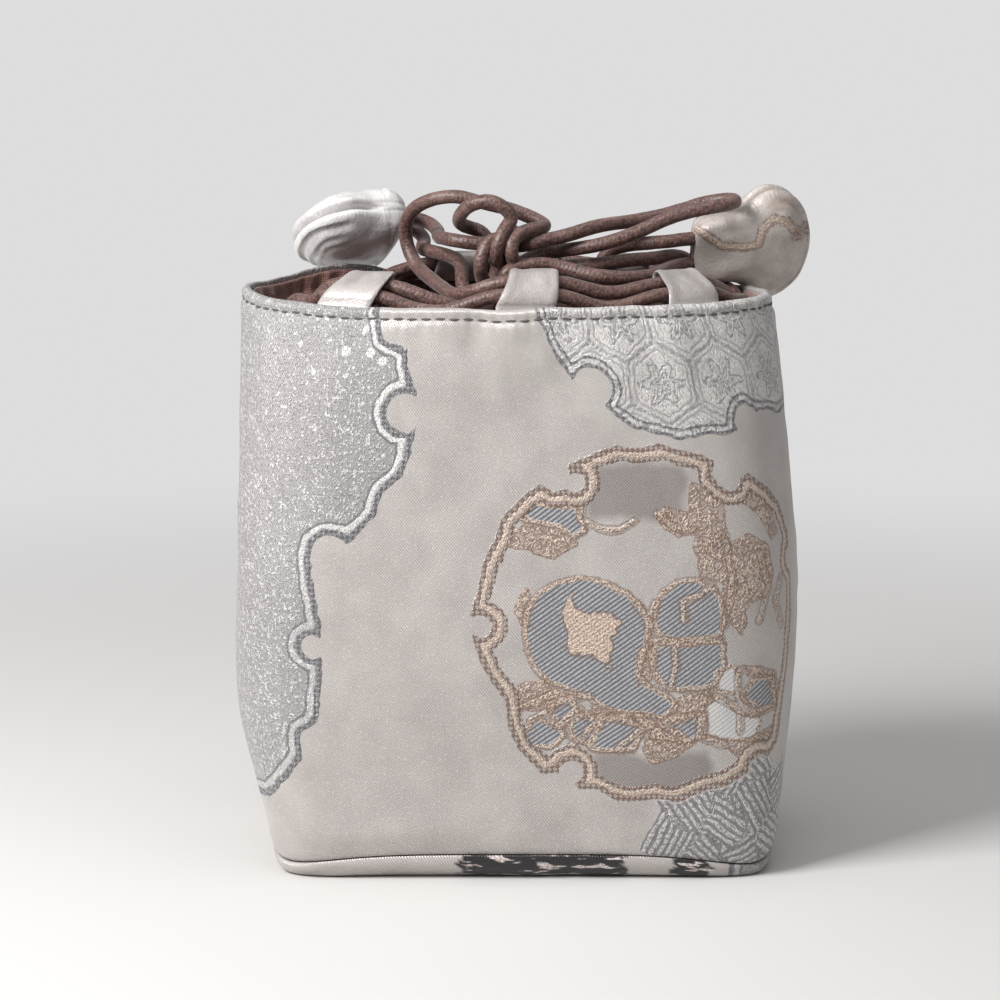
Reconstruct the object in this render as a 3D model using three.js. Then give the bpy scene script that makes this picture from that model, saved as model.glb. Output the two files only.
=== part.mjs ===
// A drawstring pouch for a tea cup. The padded brocade body stands on its own base panel and is lined with
// cotton. Six brocade loop tabs on the rim carry two drawcords, which are tied in a bow over the open mouth,
// and each cord's two ends are caught in a folded-disc toggle.
// Millimetres, +Z up. The origin is under the middle of the base, and the front faces -Y.

import * as THREE from "three";

// Body, outside sizes
const rimHeight = 101.6;
const bellyHeight = 45;
const baseWidth = 92;
const baseDepth = 56;
const bellyWidth = 100.4;
const bellyDepth = 62;
const rimWidth = 94.2;
const rimDepth = 52;
const rimShift = -1.9;

// Squareness of the body's sections: 2 is an ellipse, more is nearer a rectangle
const baseSquareness = 8;
const bellySquareness = 4;
const rimSquareness = 2.2;

// How far the rim stands above its front edge, at the left end and at the left of the back
const leftEndRise = 1.4;
const backLeftRise = 2.9;

// Base panel: its edge curls up to the seam, and lies lower at the four corners
const seamHeight = 4.5;
const cornerDrop = 2.4;
const dropFade = 22.5;

// Cloth layers
const brocadeThickness = 0.8;
const waddingThickness = 1.7;
const liningThickness = 0.45;
const layerGap = 0.35;
const endGap = 0.3;
const hemThickness = 1.2;
const hemDepth = 3.5;
const liningDrop = 1.3;
const waddingDrop = 5.6;
const shoulderDepth = 1.8;

// Loop tabs
const tabWidth = 10;
const tabThickness = 0.5;
const tabPlies = 0.8;
const tabTuck = 2.9;
const tabClearance = 0.3;
const tabFoot = 0.2;

// Drawcords
const cordDiameter = 2.5;
const cordSpacing = 2.7;
const cordRoom = 0.6;
const cordSides = 8;

// Knot: the outer shape of the wraps that tie the two cords together
const knotLength = 14;
const knotDiameter = 12.6;
const knotCentre = new THREE.Vector3(-1.2, -1.2, rimHeight + 6.8);

// Toggles: how far the lips and the hinge reach from the middle of the disc, and the disc across
const toggleWidth = 21.2;
const lipReach = 8;
const lobeReach = 7;
const hingeReach = 14;
const hingeWidth = 12.4;
const toggleThickness = 11.4;
const lipGap = 1.6;

// Facets
const columns = 26;
const wallRows = 9;
const arcSteps = 2;
const toggleSides = 24;
const knotSides = 16;

// Materials
const brocade = { color: 0xb9b3ad, roughness: 0.48, metalness: 0.25 };
const brocadeTrim = { color: 0xcfccc8, roughness: 0.45, metalness: 0.25 };
const cotton = { color: 0x7d5a52, roughness: 0.92, metalness: 0 };
const wadding = { color: 0xe8e4da, roughness: 1, metalness: 0 };
const waxedCord = { color: 0x5a3f3a, roughness: 0.42, metalness: 0 };

// Loop tabs: where on the rim each is sewn, how far it tips over the mouth, and how far it leans along the rim
const tabs = [
  { name: "tab_front_left", x: -31, side: "front", tilt: 56, lean: 0.5 },
  { name: "tab_front_center", x: 1.5, side: "front", tilt: 40, lean: 0.45 },
  { name: "tab_front_right", x: 32, side: "front", tilt: 56, lean: 0.3 },
  { name: "tab_back_right", x: 23, side: "back", tilt: 58, lean: 0 },
  { name: "tab_back_center", x: 4.5, side: "back", tilt: 52, lean: 0 },
  { name: "tab_back_left", x: -11, side: "back", tilt: 58, lean: 0 },
];

const pouch = new THREE.Group();

// Turns a geometry's faces so that they look outwards.
function facingOut(positions, faces) {
  const geometry = new THREE.BufferGeometry();
  geometry.setAttribute("position", new THREE.Float32BufferAttribute(positions, 3));
  const [a, b, c] = [new THREE.Vector3(), new THREE.Vector3(), new THREE.Vector3()];
  let volume = 0;
  for (let i = 0; i < faces.length; i += 3) {
    a.fromArray(positions, 3 * faces[i]);
    b.fromArray(positions, 3 * faces[i + 1]);
    c.fromArray(positions, 3 * faces[i + 2]);
    volume += a.dot(b.cross(c));
  }
  geometry.setIndex(volume < 0 ? faces.toReversed() : faces);
  geometry.computeVertexNormals();
  return geometry;
}

// A solid swept past a list of stations. The outline is drawn once in section space, and place() gives
// each of its points a position at each station.
function sweep(shape, stations, place) {
  const { shape: contour, holes } = shape.extractPoints(arcSteps);
  if (THREE.ShapeUtils.isClockWise(contour)) contour.reverse();
  for (const hole of holes) {
    if (!THREE.ShapeUtils.isClockWise(hole)) hole.reverse();
  }
  const loops = [contour, ...holes];
  const outline = loops.flat();
  const positions = [];
  const faces = [];
  for (const station of stations) {
    for (const point of outline) positions.push(...place(point.x, point.y, station).toArray());
  }
  for (let row = 0; row < stations.length - 1; row++) {
    let start = row * outline.length;
    for (const loop of loops) {
      for (let i = 0; i < loop.length; i++) {
        const near = start + i;
        const next = start + ((i + 1) % loop.length);
        const far = near + outline.length;
        const farNext = next + outline.length;
        faces.push(near, next, farNext, near, farNext, far);
      }
      start += loop.length;
    }
  }
  const lastRow = (stations.length - 1) * outline.length;
  for (const [i, j, k] of THREE.ShapeUtils.triangulateShape(contour, holes)) {
    faces.push(i, k, j);
    faces.push(lastRow + i, lastRow + j, lastRow + k);
  }
  return facingOut(positions, faces);
}

// A solid through a stack of rings with as many points each. Its first and last rings are closed by fans.
function ringStack(rings) {
  const count = rings[0].length;
  const positions = rings.flat().flatMap((point) => point.toArray());
  const faces = [];
  for (let row = 0; row < rings.length - 1; row++) {
    for (let i = 0; i < count; i++) {
      const near = row * count + i;
      const next = row * count + ((i + 1) % count);
      faces.push(near, next, next + count, near, next + count, near + count);
    }
  }
  for (const row of [0, rings.length - 1]) {
    const centre = positions.length / 3;
    const middle = new THREE.Vector3();
    for (const point of rings[row]) middle.addScaledVector(point, 1 / count);
    positions.push(...middle.toArray());
    for (let i = 0; i < count; i++) {
      const edge = [row * count + i, row * count + ((i + 1) % count)];
      if (row === 0) edge.reverse();
      faces.push(...edge, centre);
    }
  }
  return facingOut(positions, faces);
}

function addMesh(name, geometry, finish) {
  const mesh = new THREE.Mesh(geometry, new THREE.MeshStandardMaterial(finish));
  mesh.name = name;
  pouch.add(mesh);
  return mesh;
}

// One level section of the body: a superellipse, run anticlockwise from the right-hand end.
class BodySection extends THREE.Curve {
  constructor(height) {
    super();
    this.halfWidth = bodySize(height, baseWidth, bellyWidth, rimWidth) / 2;
    this.halfDepth = bodySize(height, baseDepth, bellyDepth, rimDepth) / 2;
    this.squareness = bodySize(height, baseSquareness, bellySquareness, rimSquareness);
    this.shift = bodySize(height, 0, 0, rimShift);
  }

  getPoint(t, target = new THREE.Vector3()) {
    const across = Math.cos(2 * Math.PI * t);
    const along = Math.sin(2 * Math.PI * t);
    const width = Math.abs(across / this.halfWidth) ** this.squareness;
    const depth = Math.abs(along / this.halfDepth) ** this.squareness;
    const reach = (width + depth) ** (-1 / this.squareness);
    return target.set(this.shift + reach * across, reach * along, 0);
  }
}

// A size at a height: it leaves its belly value as a parabola towards the base and towards the rim.
function bodySize(height, atBase, atBelly, atRim) {
  if (height < bellyHeight) {
    return atBelly - (atBelly - atBase) * ((bellyHeight - height) / bellyHeight) ** 2;
  }
  return atBelly - (atBelly - atRim) * ((height - bellyHeight) / (rimHeight - bellyHeight)) ** 2;
}

// A point of the wall: a share of the way round, a height, and how far inside the outer face it lies.
function wallPoint(share, height, inset) {
  const section = new BodySection(height);
  const point = section.getPointAt(share);
  const tangent = section.getTangentAt(share);
  return new THREE.Vector3(point.x - tangent.y * inset, point.y + tangent.x * inset, height);
}

// A smooth bump of height 1 about a middle.
function bump(value, middle, width) {
  return Math.exp(-(((value - middle) / width) ** 2));
}

// The rim's own ups and downs, which fade out below it
const leftEnd = 0.5;
const backLeft = 0.385;
const riseWidth = 0.05;
const riseFade = 30;

function rimRise(share, level) {
  const fade = THREE.MathUtils.smoothstep(level, rimHeight - riseFade, rimHeight);
  const rise = leftEndRise * bump(share, leftEnd, riseWidth) + backLeftRise * bump(share, backLeft, riseWidth);
  return fade * rise;
}

// How much of a corner there is at a share of the way round the base, from 0 to 1.
function cornerness(share) {
  const section = new BodySection(0);
  const point = section.getPointAt(share);
  const fullness = Math.abs((point.x * point.y) / (section.halfWidth * section.halfDepth));
  const atCorner = 2 ** (-2 / section.squareness);
  return (fullness / atCorner) ** 4;
}

function seamHeightAt(share) {
  return seamHeight - cornerDrop * cornerness(share);
}

// Insets and levels of the layers
const waddingInset = brocadeThickness + layerGap;
const liningInset = waddingInset + waddingThickness + layerGap;
const wallFoot = seamHeight + endGap;
const waddingFoot = waddingInset + waddingThickness + endGap;
const liningFoot = liningInset + liningThickness + endGap;
const waddingTop = rimHeight - waddingDrop;
const liningTop = rimHeight - liningDrop;
const hemFoot = rimHeight - hemDepth;
const shoulderFoot = hemFoot - shoulderDepth;
const topLiningInset = hemThickness + layerGap;

const rimLength = new BodySection(rimHeight).getLength();

function spaced(from, to, steps) {
  return Array.from({ length: steps + 1 }, (_, i) => from + ((to - from) * i) / steps);
}

// The share of the way round the rim at which the front or the back lies at x
function rimShareAt(x, side) {
  const rim = new BodySection(rimHeight);
  let [left, right] = side === "front" ? [0.5, 1] : [0.5, 0];
  for (let i = 0; i < 24; i++) {
    const middle = (left + right) / 2;
    if (rim.getPointAt(middle).x < x) left = middle;
    else right = middle;
  }
  return (left + right) / 2;
}

for (const tab of tabs) tab.share = rimShareAt(tab.x, tab.side);

// How near a share of the way round is to a tab: 1 behind it and just beside it, and 0 away from it
function tabNearness(share) {
  const column = rimLength / (2 * columns);
  const distances = tabs.map((tab) => Math.abs(tab.share - share) * rimLength);
  const plateau = tabWidth / 2 + column;
  return 1 - THREE.MathUtils.smoothstep(Math.min(...distances), plateau, plateau + column);
}

// Levels that the layers share, so that their facets stay side by side
const sharedLevels = spaced(wallFoot, waddingTop, wallRows);

// Stations of the back and front panels, which meet at the side seams
const seamShare = endGap / 2 / rimLength;
const panels = {
  back: spaced(seamShare, 0.5 - seamShare, columns),
  front: spaced(0.5 + seamShare, 1 - seamShare, columns),
};

// The outer panel: brocade whose top is folded in as a hem, with a round edge
function outerSection() {
  const fold = hemThickness / 2;
  const shape = new THREE.Shape();
  shape.moveTo(0, wallFoot);
  for (const level of sharedLevels.slice(1)) shape.lineTo(0, level);
  shape.absarc(fold, rimHeight - fold, fold, Math.PI, 0, true);
  shape.lineTo(hemThickness, hemFoot);
  shape.lineTo(brocadeThickness, hemFoot - brocadeThickness);
  for (const level of sharedLevels.toReversed()) shape.lineTo(brocadeThickness, level);
  return shape;
}

function placeOuter(inset, level, share) {
  const point = placeLayer(inset, level, share);
  const above = THREE.MathUtils.smoothstep(level, wallFoot, wallFoot + dropFade);
  point.z -= cornerDrop * cornerness(share) * (1 - above);
  return point;
}

function placeLayer(inset, level, share) {
  return wallPoint(share, level + rimRise(share, level), inset);
}

// The base's hollow: the inset of its inner face at a height
function hollowInset(height) {
  const radius = seamHeight - brocadeThickness;
  return seamHeight - Math.sqrt(radius ** 2 - (seamHeight - height) ** 2);
}

function waddingSection() {
  const inner = waddingInset + waddingThickness;
  const shape = new THREE.Shape();
  shape.moveTo(hollowInset(waddingFoot) + endGap, waddingFoot);
  for (const level of sharedLevels) shape.lineTo(waddingInset, level);
  for (const level of sharedLevels.toReversed()) shape.lineTo(inner, level);
  shape.lineTo(inner, waddingFoot);
  return shape;
}

// The lining: it steps out to the hem above the wadding, and is turned in a little below the rim
function liningSection() {
  const levels = [liningFoot, ...sharedLevels, shoulderFoot];
  const shape = new THREE.Shape();
  shape.moveTo(liningInset, levels[0]);
  for (const level of levels.slice(1)) shape.lineTo(liningInset, level);
  shape.lineTo(topLiningInset, hemFoot);
  shape.lineTo(topLiningInset, liningTop);
  shape.lineTo(topLiningInset + liningThickness, liningTop);
  shape.lineTo(topLiningInset + liningThickness, hemFoot);
  for (const level of levels.toReversed()) shape.lineTo(liningInset + liningThickness, level);
  return shape;
}

// Where the tabs are sewn in, the lining stands off the hem by their plies
function placeLining(inset, level, share) {
  const above = THREE.MathUtils.clamp((level - shoulderFoot) / shoulderDepth, 0, 1);
  const room = tabPlies + 2 * tabClearance - layerGap;
  return placeLayer(inset + above * room * tabNearness(share), level, share);
}

for (const [side, stations] of Object.entries(panels)) {
  addMesh("outer_" + side, sweep(outerSection(), stations, placeOuter), brocade);
  addMesh("wadding_" + side, sweep(waddingSection(), stations, placeLayer), wadding);
  addMesh("lining_" + side, sweep(liningSection(), stations, placeLining), cotton);
}

// Base panel, its wadding and its lining
const roundShares = spaced(0, 1, 2 * columns).slice(0, -1);

// A ring of the base panel where its curl has turned by an angle, on the face at a depth in the cloth
function curlRing(turn, depth) {
  return roundShares.map((share) => {
    const seam = seamHeightAt(share);
    const radius = seam - depth;
    const point = wallPoint(share, seamHeight, seam - radius * Math.cos(turn));
    return point.setZ(seam - radius * Math.sin(turn));
  });
}

// A level ring whose plan is the body's at a height of its own
function levelRing(inset, height, planHeight) {
  return roundShares.map((share) => wallPoint(share, planHeight, inset).setZ(height));
}

const curlTurns = spaced(0, Math.PI / 2, 3);
addMesh(
  "outer_base",
  ringStack([
    ...curlTurns.toReversed().map((turn) => curlRing(turn, 0)),
    ...curlTurns.map((turn) => curlRing(turn, brocadeThickness)),
  ]),
  brocade,
);

const waddingFloor = waddingInset + waddingThickness;
addMesh(
  "wadding_base",
  ringStack([
    levelRing(hollowInset(waddingInset) + 2 * endGap, waddingInset, seamHeight),
    levelRing(hollowInset(waddingFloor) + 2 * endGap, waddingFloor, seamHeight),
  ]),
  wadding,
);

addMesh(
  "lining_base",
  ringStack([
    levelRing(waddingFloor + endGap, liningInset, liningInset),
    levelRing(waddingFloor + endGap, liningInset + liningThickness, liningInset),
  ]),
  cotton,
);

// Loop tabs. Section space has the inset from the outer face across and the height above the rim up.
// The loop is the outline of the two cords, one above the other, and the stem is its two plies.
function tabSection(tilt) {
  const slope = THREE.MathUtils.degToRad(tilt);
  const stem = hemThickness + tabClearance + tabPlies / 2;
  const inner = cordDiameter / 2 + cordRoom;
  const outer = inner + tabThickness;
  const up = new THREE.Vector2(Math.sin(slope), Math.cos(slope));
  const foot = new THREE.Vector2(stem, tabFoot);
  const low = foot.clone().addScaledVector(up, outer - tabThickness / 2);
  const high = low.clone().addScaledVector(up, cordSpacing);
  const left = Math.PI - slope;
  const right = -slope;

  const shape = new THREE.Shape();
  const sideAngle = (x) => Math.atan2(-Math.sqrt(outer ** 2 - (x - low.x) ** 2), x - low.x);
  shape.moveTo(stem - tabPlies / 2, -tabTuck);
  shape.absarc(low.x, low.y, outer, sideAngle(stem - tabPlies / 2), left, true);
  shape.absarc(high.x, high.y, outer, left, right, true);
  shape.absarc(low.x, low.y, outer, right, sideAngle(stem + tabPlies / 2), true);
  shape.lineTo(stem + tabPlies / 2, -tabTuck);

  const hole = new THREE.Path();
  hole.absarc(high.x, high.y, inner, right, left, false);
  hole.absarc(low.x, low.y, inner, left, left + Math.PI, false);
  shape.holes.push(hole);
  return shape;
}

for (const tab of tabs) {
  const place = (inset, rise, along) => {
    const share = tab.share + (along + tab.lean * Math.max(rise, 0)) / rimLength;
    return wallPoint(share, rimHeight + rimRise(share, rimHeight) + rise, inset);
  };
  const stations = spaced(-tabWidth / 2, tabWidth / 2, 3);
  addMesh(tab.name, sweep(tabSection(tab.tilt), stations, place), brocadeTrim);
}

// Folded-disc toggles: two padded half shells closed on each other like a clam, with a narrower hinge
// where the cords come in. Local +x points to the lips, z runs along the hinge and y is the thickness.
// The shell's outline goes from its middle to its lip, as shares of the reach and of half the thickness.
const shellOutline = [[0, 1], [0.3, 0.97], [0.55, 0.88], [0.75, 0.71], [0.9, 0.5], [0.98, 0.33], [1, 0.22]];
const lipRoll = 0.985;
const grooveFloor = 0.88;
const grooveStart = -0.3;
const grooveEnd = -0.7;
const hingeSquareness = 6;
const lipThinning = 0.22;
const thinningStart = -0.2;

function toggleGeometry() {
  const halfWidth = toggleWidth / 2;
  const half = toggleThickness / 2;
  const profile = [...shellOutline, [lipRoll, lipGap / toggleThickness]];
  const points = [
    ...profile.map(([out, up]) => new THREE.Vector2(out, -up)),
    new THREE.Vector2(grooveFloor, 0),
    ...profile.toReversed().map(([out, up]) => new THREE.Vector2(out, up)),
  ];
  const geometry = new THREE.LatheGeometry(points, toggleSides);
  const position = geometry.getAttribute("position");
  for (let i = 0; i < position.count; i++) {
    const x = position.getX(i);
    const y = position.getY(i);
    const z = position.getZ(i);
    const out = Math.hypot(x, z);
    const cosine = out > 0 ? x / out : 1;
    const sine = out > 0 ? z / out : 0;
    const lobe = Math.hypot(cosine / (cosine > 0 ? lipReach : lobeReach), sine / halfWidth) ** -1;
    const along = Math.abs(cosine) / hingeReach;
    const across = Math.abs(sine) / (hingeWidth / 2);
    const hinge = (along ** hingeSquareness + across ** hingeSquareness) ** (-1 / hingeSquareness);
    const reach = cosine < 0 ? Math.max(lobe, hinge) : lobe;
    const grooved = THREE.MathUtils.smoothstep(cosine, grooveEnd, grooveStart);
    const fullness = y === 0 ? THREE.MathUtils.lerp(1, out, grooved) : out;
    const thin = 1 - lipThinning * THREE.MathUtils.smoothstep(x, thinningStart, 1);
    position.setXYZ(i, cosine * fullness * reach, y * half * thin, sine * fullness * reach);
  }
  const index = Array.from(geometry.getIndex().array);
  return facingOut(Array.from(position.array), index);
}

// A toggle in its place: where its middle is, and the ways its lips and its near edge point
function addToggle(name, middle, lips, nearEdge) {
  const xAxis = lips.clone().normalize();
  const yAxis = nearEdge.clone().cross(xAxis).normalize();
  const zAxis = xAxis.clone().cross(yAxis);
  const toggle = addMesh(name, toggleGeometry(), brocadeTrim);
  toggle.quaternion.setFromRotationMatrix(new THREE.Matrix4().makeBasis(xAxis, yAxis, zAxis));
  toggle.position.copy(middle);
}

addToggle(
  "toggle_left",
  new THREE.Vector3(-33.3, 20.4, rimHeight + 8.7),
  new THREE.Vector3(-0.94, -0.34, -0.05),
  new THREE.Vector3(0.3, -0.81, 0.5),
);
addToggle(
  "toggle_right",
  new THREE.Vector3(45.8, 13.2, rimHeight + 7.6),
  new THREE.Vector3(0.94, 0.33, 0.08),
  new THREE.Vector3(0, 0.3, -0.95),
);

// Drawcords. Each stretch is a round cord along its own route, which was measured off the photo where it
// shows. A stretch ends at the knot or at a toggle, and goes through the lower or the upper half of each loop.
// Steps are spread over the route's points and not over its length, so that the bends get more of them.
class Route extends THREE.CatmullRomCurve3 {
  getUtoTmapping(u) {
    return u;
  }
}

function addCord(name, places) {
  const route = new Route(places.map((place) => new THREE.Vector3(...place)));
  const outline = new THREE.Shape();
  outline.absarc(0, 0, cordDiameter / 2, 0, 2 * Math.PI);
  const options = { steps: places.length - 1, curveSegments: cordSides / 2, extrudePath: route };
  addMesh(name, new THREE.ExtrudeGeometry(outline, options), waxedCord);
}

// The left toggle's cord: from the toggle to the knot, out as the bow and back, then up in a loop and
// down round the rim through all six tabs, and back to the toggle
addCord("cord_left_tie", [
  [-18.3, 23.8, 112.2], [-15.9, 22.2, 111.4], [-14.5, 17.9, 110.5], [-14.2, 9.8, 110.4],
  [-13.2, 1.9, 110.9], [-10.4, -1.5, 110.7], [-8.8, -1.7, 110.5],
]);

addCord("cord_left_bow", [
  [6.4, -2.2, 111.2], [9.4, -1.8, 111.9], [14.8, 1.2, 113.2], [21.6, 5.5, 113.7],
  [27.3, 8, 114.6], [35, 8.8, 116.8], [38.9, 6.9, 117.4], [39.4, 3.8, 117.2], [36.3, 1.1, 116.8],
  [28.6, 0.2, 115.2], [19.9, -1.1, 111.6], [13.8, -1, 109.8], [6.4, 0.8, 108.6],
]);

addCord("cord_left_drawstring", [
  [3.7, 1.3, 115.4], [2, 1.7, 116.3], [-0.6, 2.4, 117.3], [-4, 3, 118.1],
  [-7.3, 3.4, 118.5], [-11, 4.2, 118.2], [-16, 6.3, 117.2],
  [-19.1, 8.9, 115], [-20.3, 11.1, 111.6], [-19.6, 11, 107.6], [-17.9, 8.2, 105],
  [-16, 2.3, 103.9], [-13.6, -5.4, 103.1], [-10.8, -14.4, 102.6], [-7.9, -18, 103.6],
  [-3.9, -20.1, 105.2], [-2.4, -20.3, 105.5], [2.4, -20.2, 105.5], [7.2, -19.7, 105.5],
  [8.7, -19.4, 105.2], [16.1, -17.5, 103.3], [23.6, -15.1, 104.4], [28, -13, 104.5],
  [32.1, -10.5, 104.5], [33.2, -9.4, 104.3], [36.7, -4.5, 102.2], [37.4, 0, 101.1],
  [36.1, 4.5, 101.2], [32.7, 9.5, 102.9], [27.2, 12, 103], [24.7, 14.6, 104.4],
  [20.2, 16.3, 104.3], [14, 17.9, 104.4], [9.3, 18.9, 104.8], [4.5, 19.5, 104.8],
  [-1.9, 19.8, 104.8], [-5, 19.5, 104.3], [-9.8, 19.2, 104.4], [-14.6, 18.5, 104.6],
  [-16.1, 18.2, 104.5], [-24.2, 15.3, 102.3], [-30.9, 12, 97.5], [-36.8, 7, 95.5],
  [-39.5, 1.5, 94.7], [-39.4, -2.9, 95], [-37.9, -6.8, 96.9], [-34.3, -11.1, 102.7],
  [-32.4, -12.8, 104.2], [-31, -13.6, 104.5], [-26.5, -15.5, 104.5], [-22, -17, 104.5],
  [-14.6, -18.9, 102.2], [-10.1, -18.5, 100.8], [-6.8, -15.8, 99.9], [-5.4, -11.3, 100.1],
  [-5.8, -6.7, 100.8], [-8.4, -2.6, 100.8], [-9.6, -1.1, 102], [-10.1, 4.6, 106],
  [-11.5, 7.1, 106.8], [-16.3, 13.6, 107.4], [-17.3, 16.5, 107.4], [-17.1, 24.4, 108.3],
  [-18.1, 26.9, 109.3], [-19.5, 27.4, 110],
]);

// The right toggle's cord: from the toggle to the knot, out as the standing loop and back, then round the
// rim the other way through all six tabs, and back to the toggle
addCord("cord_right_tie", [
  [32.2, 9.2, 105.6], [29.5, 7.8, 105.3], [26.8, 1.8, 105.2], [24.1, -3.8, 104.8],
  [20.3, -6.5, 104.7], [14, -7.4, 105.2], [6.4, -5.2, 106.8],
]);

addCord("cord_right_loop", [
  [-0.7, -3.9, 114.7], [-1.1, -4.6, 116], [-4.4, -4.5, 118.2], [-8.2, -3.1, 117.4],
  [-10.3, 0.1, 114.9], [-9.9, 4.3, 113.1], [-8.1, 6, 112.2], [-6.6, 5.9, 112],
]);

addCord("cord_right_drawstring", [
  [6.4, 2.6, 105.6], [14.2, 1.4, 106.2], [20.3, 2.9, 106.8], [24.4, 5.5, 106.8],
  [30.3, 12.6, 106.3], [33.3, 14.4, 103.9], [35.4, 13.7, 101.9], [36.5, 12.8, 101.2],
  [39.2, 8.8, 100.6], [40.6, 4.8, 98], [41.1, 0.2, 97.6], [40.5, -4.4, 100.4],
  [38.2, -9.3, 100.9], [35, -12.1, 102.6], [33.8, -13, 103], [29.7, -15.5, 103],
  [25.4, -17.6, 103], [23.9, -18.2, 102.8], [17.9, -19.7, 101.1], [14.8, -20.3, 101],
  [7.5, -22, 103.4], [1.1, -22.4, 103.4], [-3.7, -22.4, 103.4], [-12.7, -21.6, 100.6],
  [-17.2, -20.7, 100.7], [-23.1, -19.6, 102.7], [-24.6, -19.2, 103], [-29.1, -17.6, 103],
  [-33.5, -15.7, 103], [-36.5, -12.6, 100.9], [-39, -9.9, 101.4], [-39.8, -8.8, 100.6],
  [-41.4, -6, 96.3], [-42.6, -1.4, 94.8], [-42, 3.3, 94.5], [-39.7, 7.7, 94.6],
  [-36.6, 11.2, 95.1], [-31.8, 14.8, 97.9], [-23.8, 18.8, 100.5], [-16.6, 20.9, 103.3],
  [-10.2, 21.8, 103], [-2.2, 22.2, 103], [5.8, 21.9, 103.1], [12.2, 21.1, 103],
  [20, 19.4, 102.9], [26, 17.3, 102.9], [29.8, 13.8, 100.9], [31.8, 10.8, 100.3],
  [31.5, 7, 100.9], [28.9, 4, 102.2], [22.7, 2.6, 103.2], [16.9, 3.8, 104], [15.2, 5.7, 105.7],
  [16.5, 7.3, 107.7], [18.7, 7.8, 108.7], [27.7, 6.7, 109.8], [32.3, 7.8, 110.2],
]);

// Knot: the wraps of both cords as one barrel along X
const knotProfile = [[0, -1], [0.76, -1], [0.95, -0.84], [1, -0.6], [1, 0.6], [0.95, 0.84], [0.76, 1], [0, 1]];
const knotOutline = knotProfile.map(
  ([out, along]) => new THREE.Vector2((out * knotDiameter) / 2, (along * knotLength) / 2),
);
const knotGeometry = new THREE.LatheGeometry(knotOutline, knotSides);
knotGeometry.rotateZ(-Math.PI / 2).translate(...knotCentre.toArray());
addMesh("knot", knotGeometry, waxedCord);

export default pouch;
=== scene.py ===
# The looks of a drawstring pouch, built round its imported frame. The sizes here are in millimetres, and every
# mesh is made in metres. A share is how far round the body a point lies: 0 is the right end, 0.25 the middle
# of the back, 0.5 the left end and 0.75 the middle of the front.
import math
from functools import reduce
from types import SimpleNamespace

import bmesh
import bpy
import numpy as np
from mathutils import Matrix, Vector
from mathutils.geometry import tessellate_polygon


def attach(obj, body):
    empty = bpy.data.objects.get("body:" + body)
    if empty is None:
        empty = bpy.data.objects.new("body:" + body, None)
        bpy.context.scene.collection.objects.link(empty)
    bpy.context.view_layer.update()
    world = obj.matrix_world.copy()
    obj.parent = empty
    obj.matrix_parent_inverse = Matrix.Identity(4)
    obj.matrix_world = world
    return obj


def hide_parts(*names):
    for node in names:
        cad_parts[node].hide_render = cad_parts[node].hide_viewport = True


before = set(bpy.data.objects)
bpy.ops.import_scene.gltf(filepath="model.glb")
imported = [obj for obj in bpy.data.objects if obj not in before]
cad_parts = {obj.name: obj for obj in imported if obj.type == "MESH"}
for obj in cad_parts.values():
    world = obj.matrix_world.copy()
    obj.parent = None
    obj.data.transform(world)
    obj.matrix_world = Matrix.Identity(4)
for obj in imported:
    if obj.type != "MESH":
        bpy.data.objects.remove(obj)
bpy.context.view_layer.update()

MM = 0.001
TURN = 2 * math.pi

# Camera: 10 degrees above level, square on to the front
CAMERA_TILT = math.radians(10)
CAMERA_DISTANCE = 700
CAMERA_TARGET = Vector((-3, 0, 63.4))
SENSOR_WIDTH = 36
LENS = 138.85
camera_data = bpy.data.cameras.new("camera")
camera_data.sensor_width = SENSOR_WIDTH
camera_data.lens = LENS
camera = bpy.data.objects.new("camera", camera_data)
bpy.context.scene.collection.objects.link(camera)
camera_way = Vector((0, -math.cos(CAMERA_TILT), math.sin(CAMERA_TILT)))
camera.location = (CAMERA_TARGET + CAMERA_DISTANCE * camera_way) * MM
camera.rotation_euler = (math.pi / 2 - CAMERA_TILT, 0, 0)
bpy.context.scene.camera = camera

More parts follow.
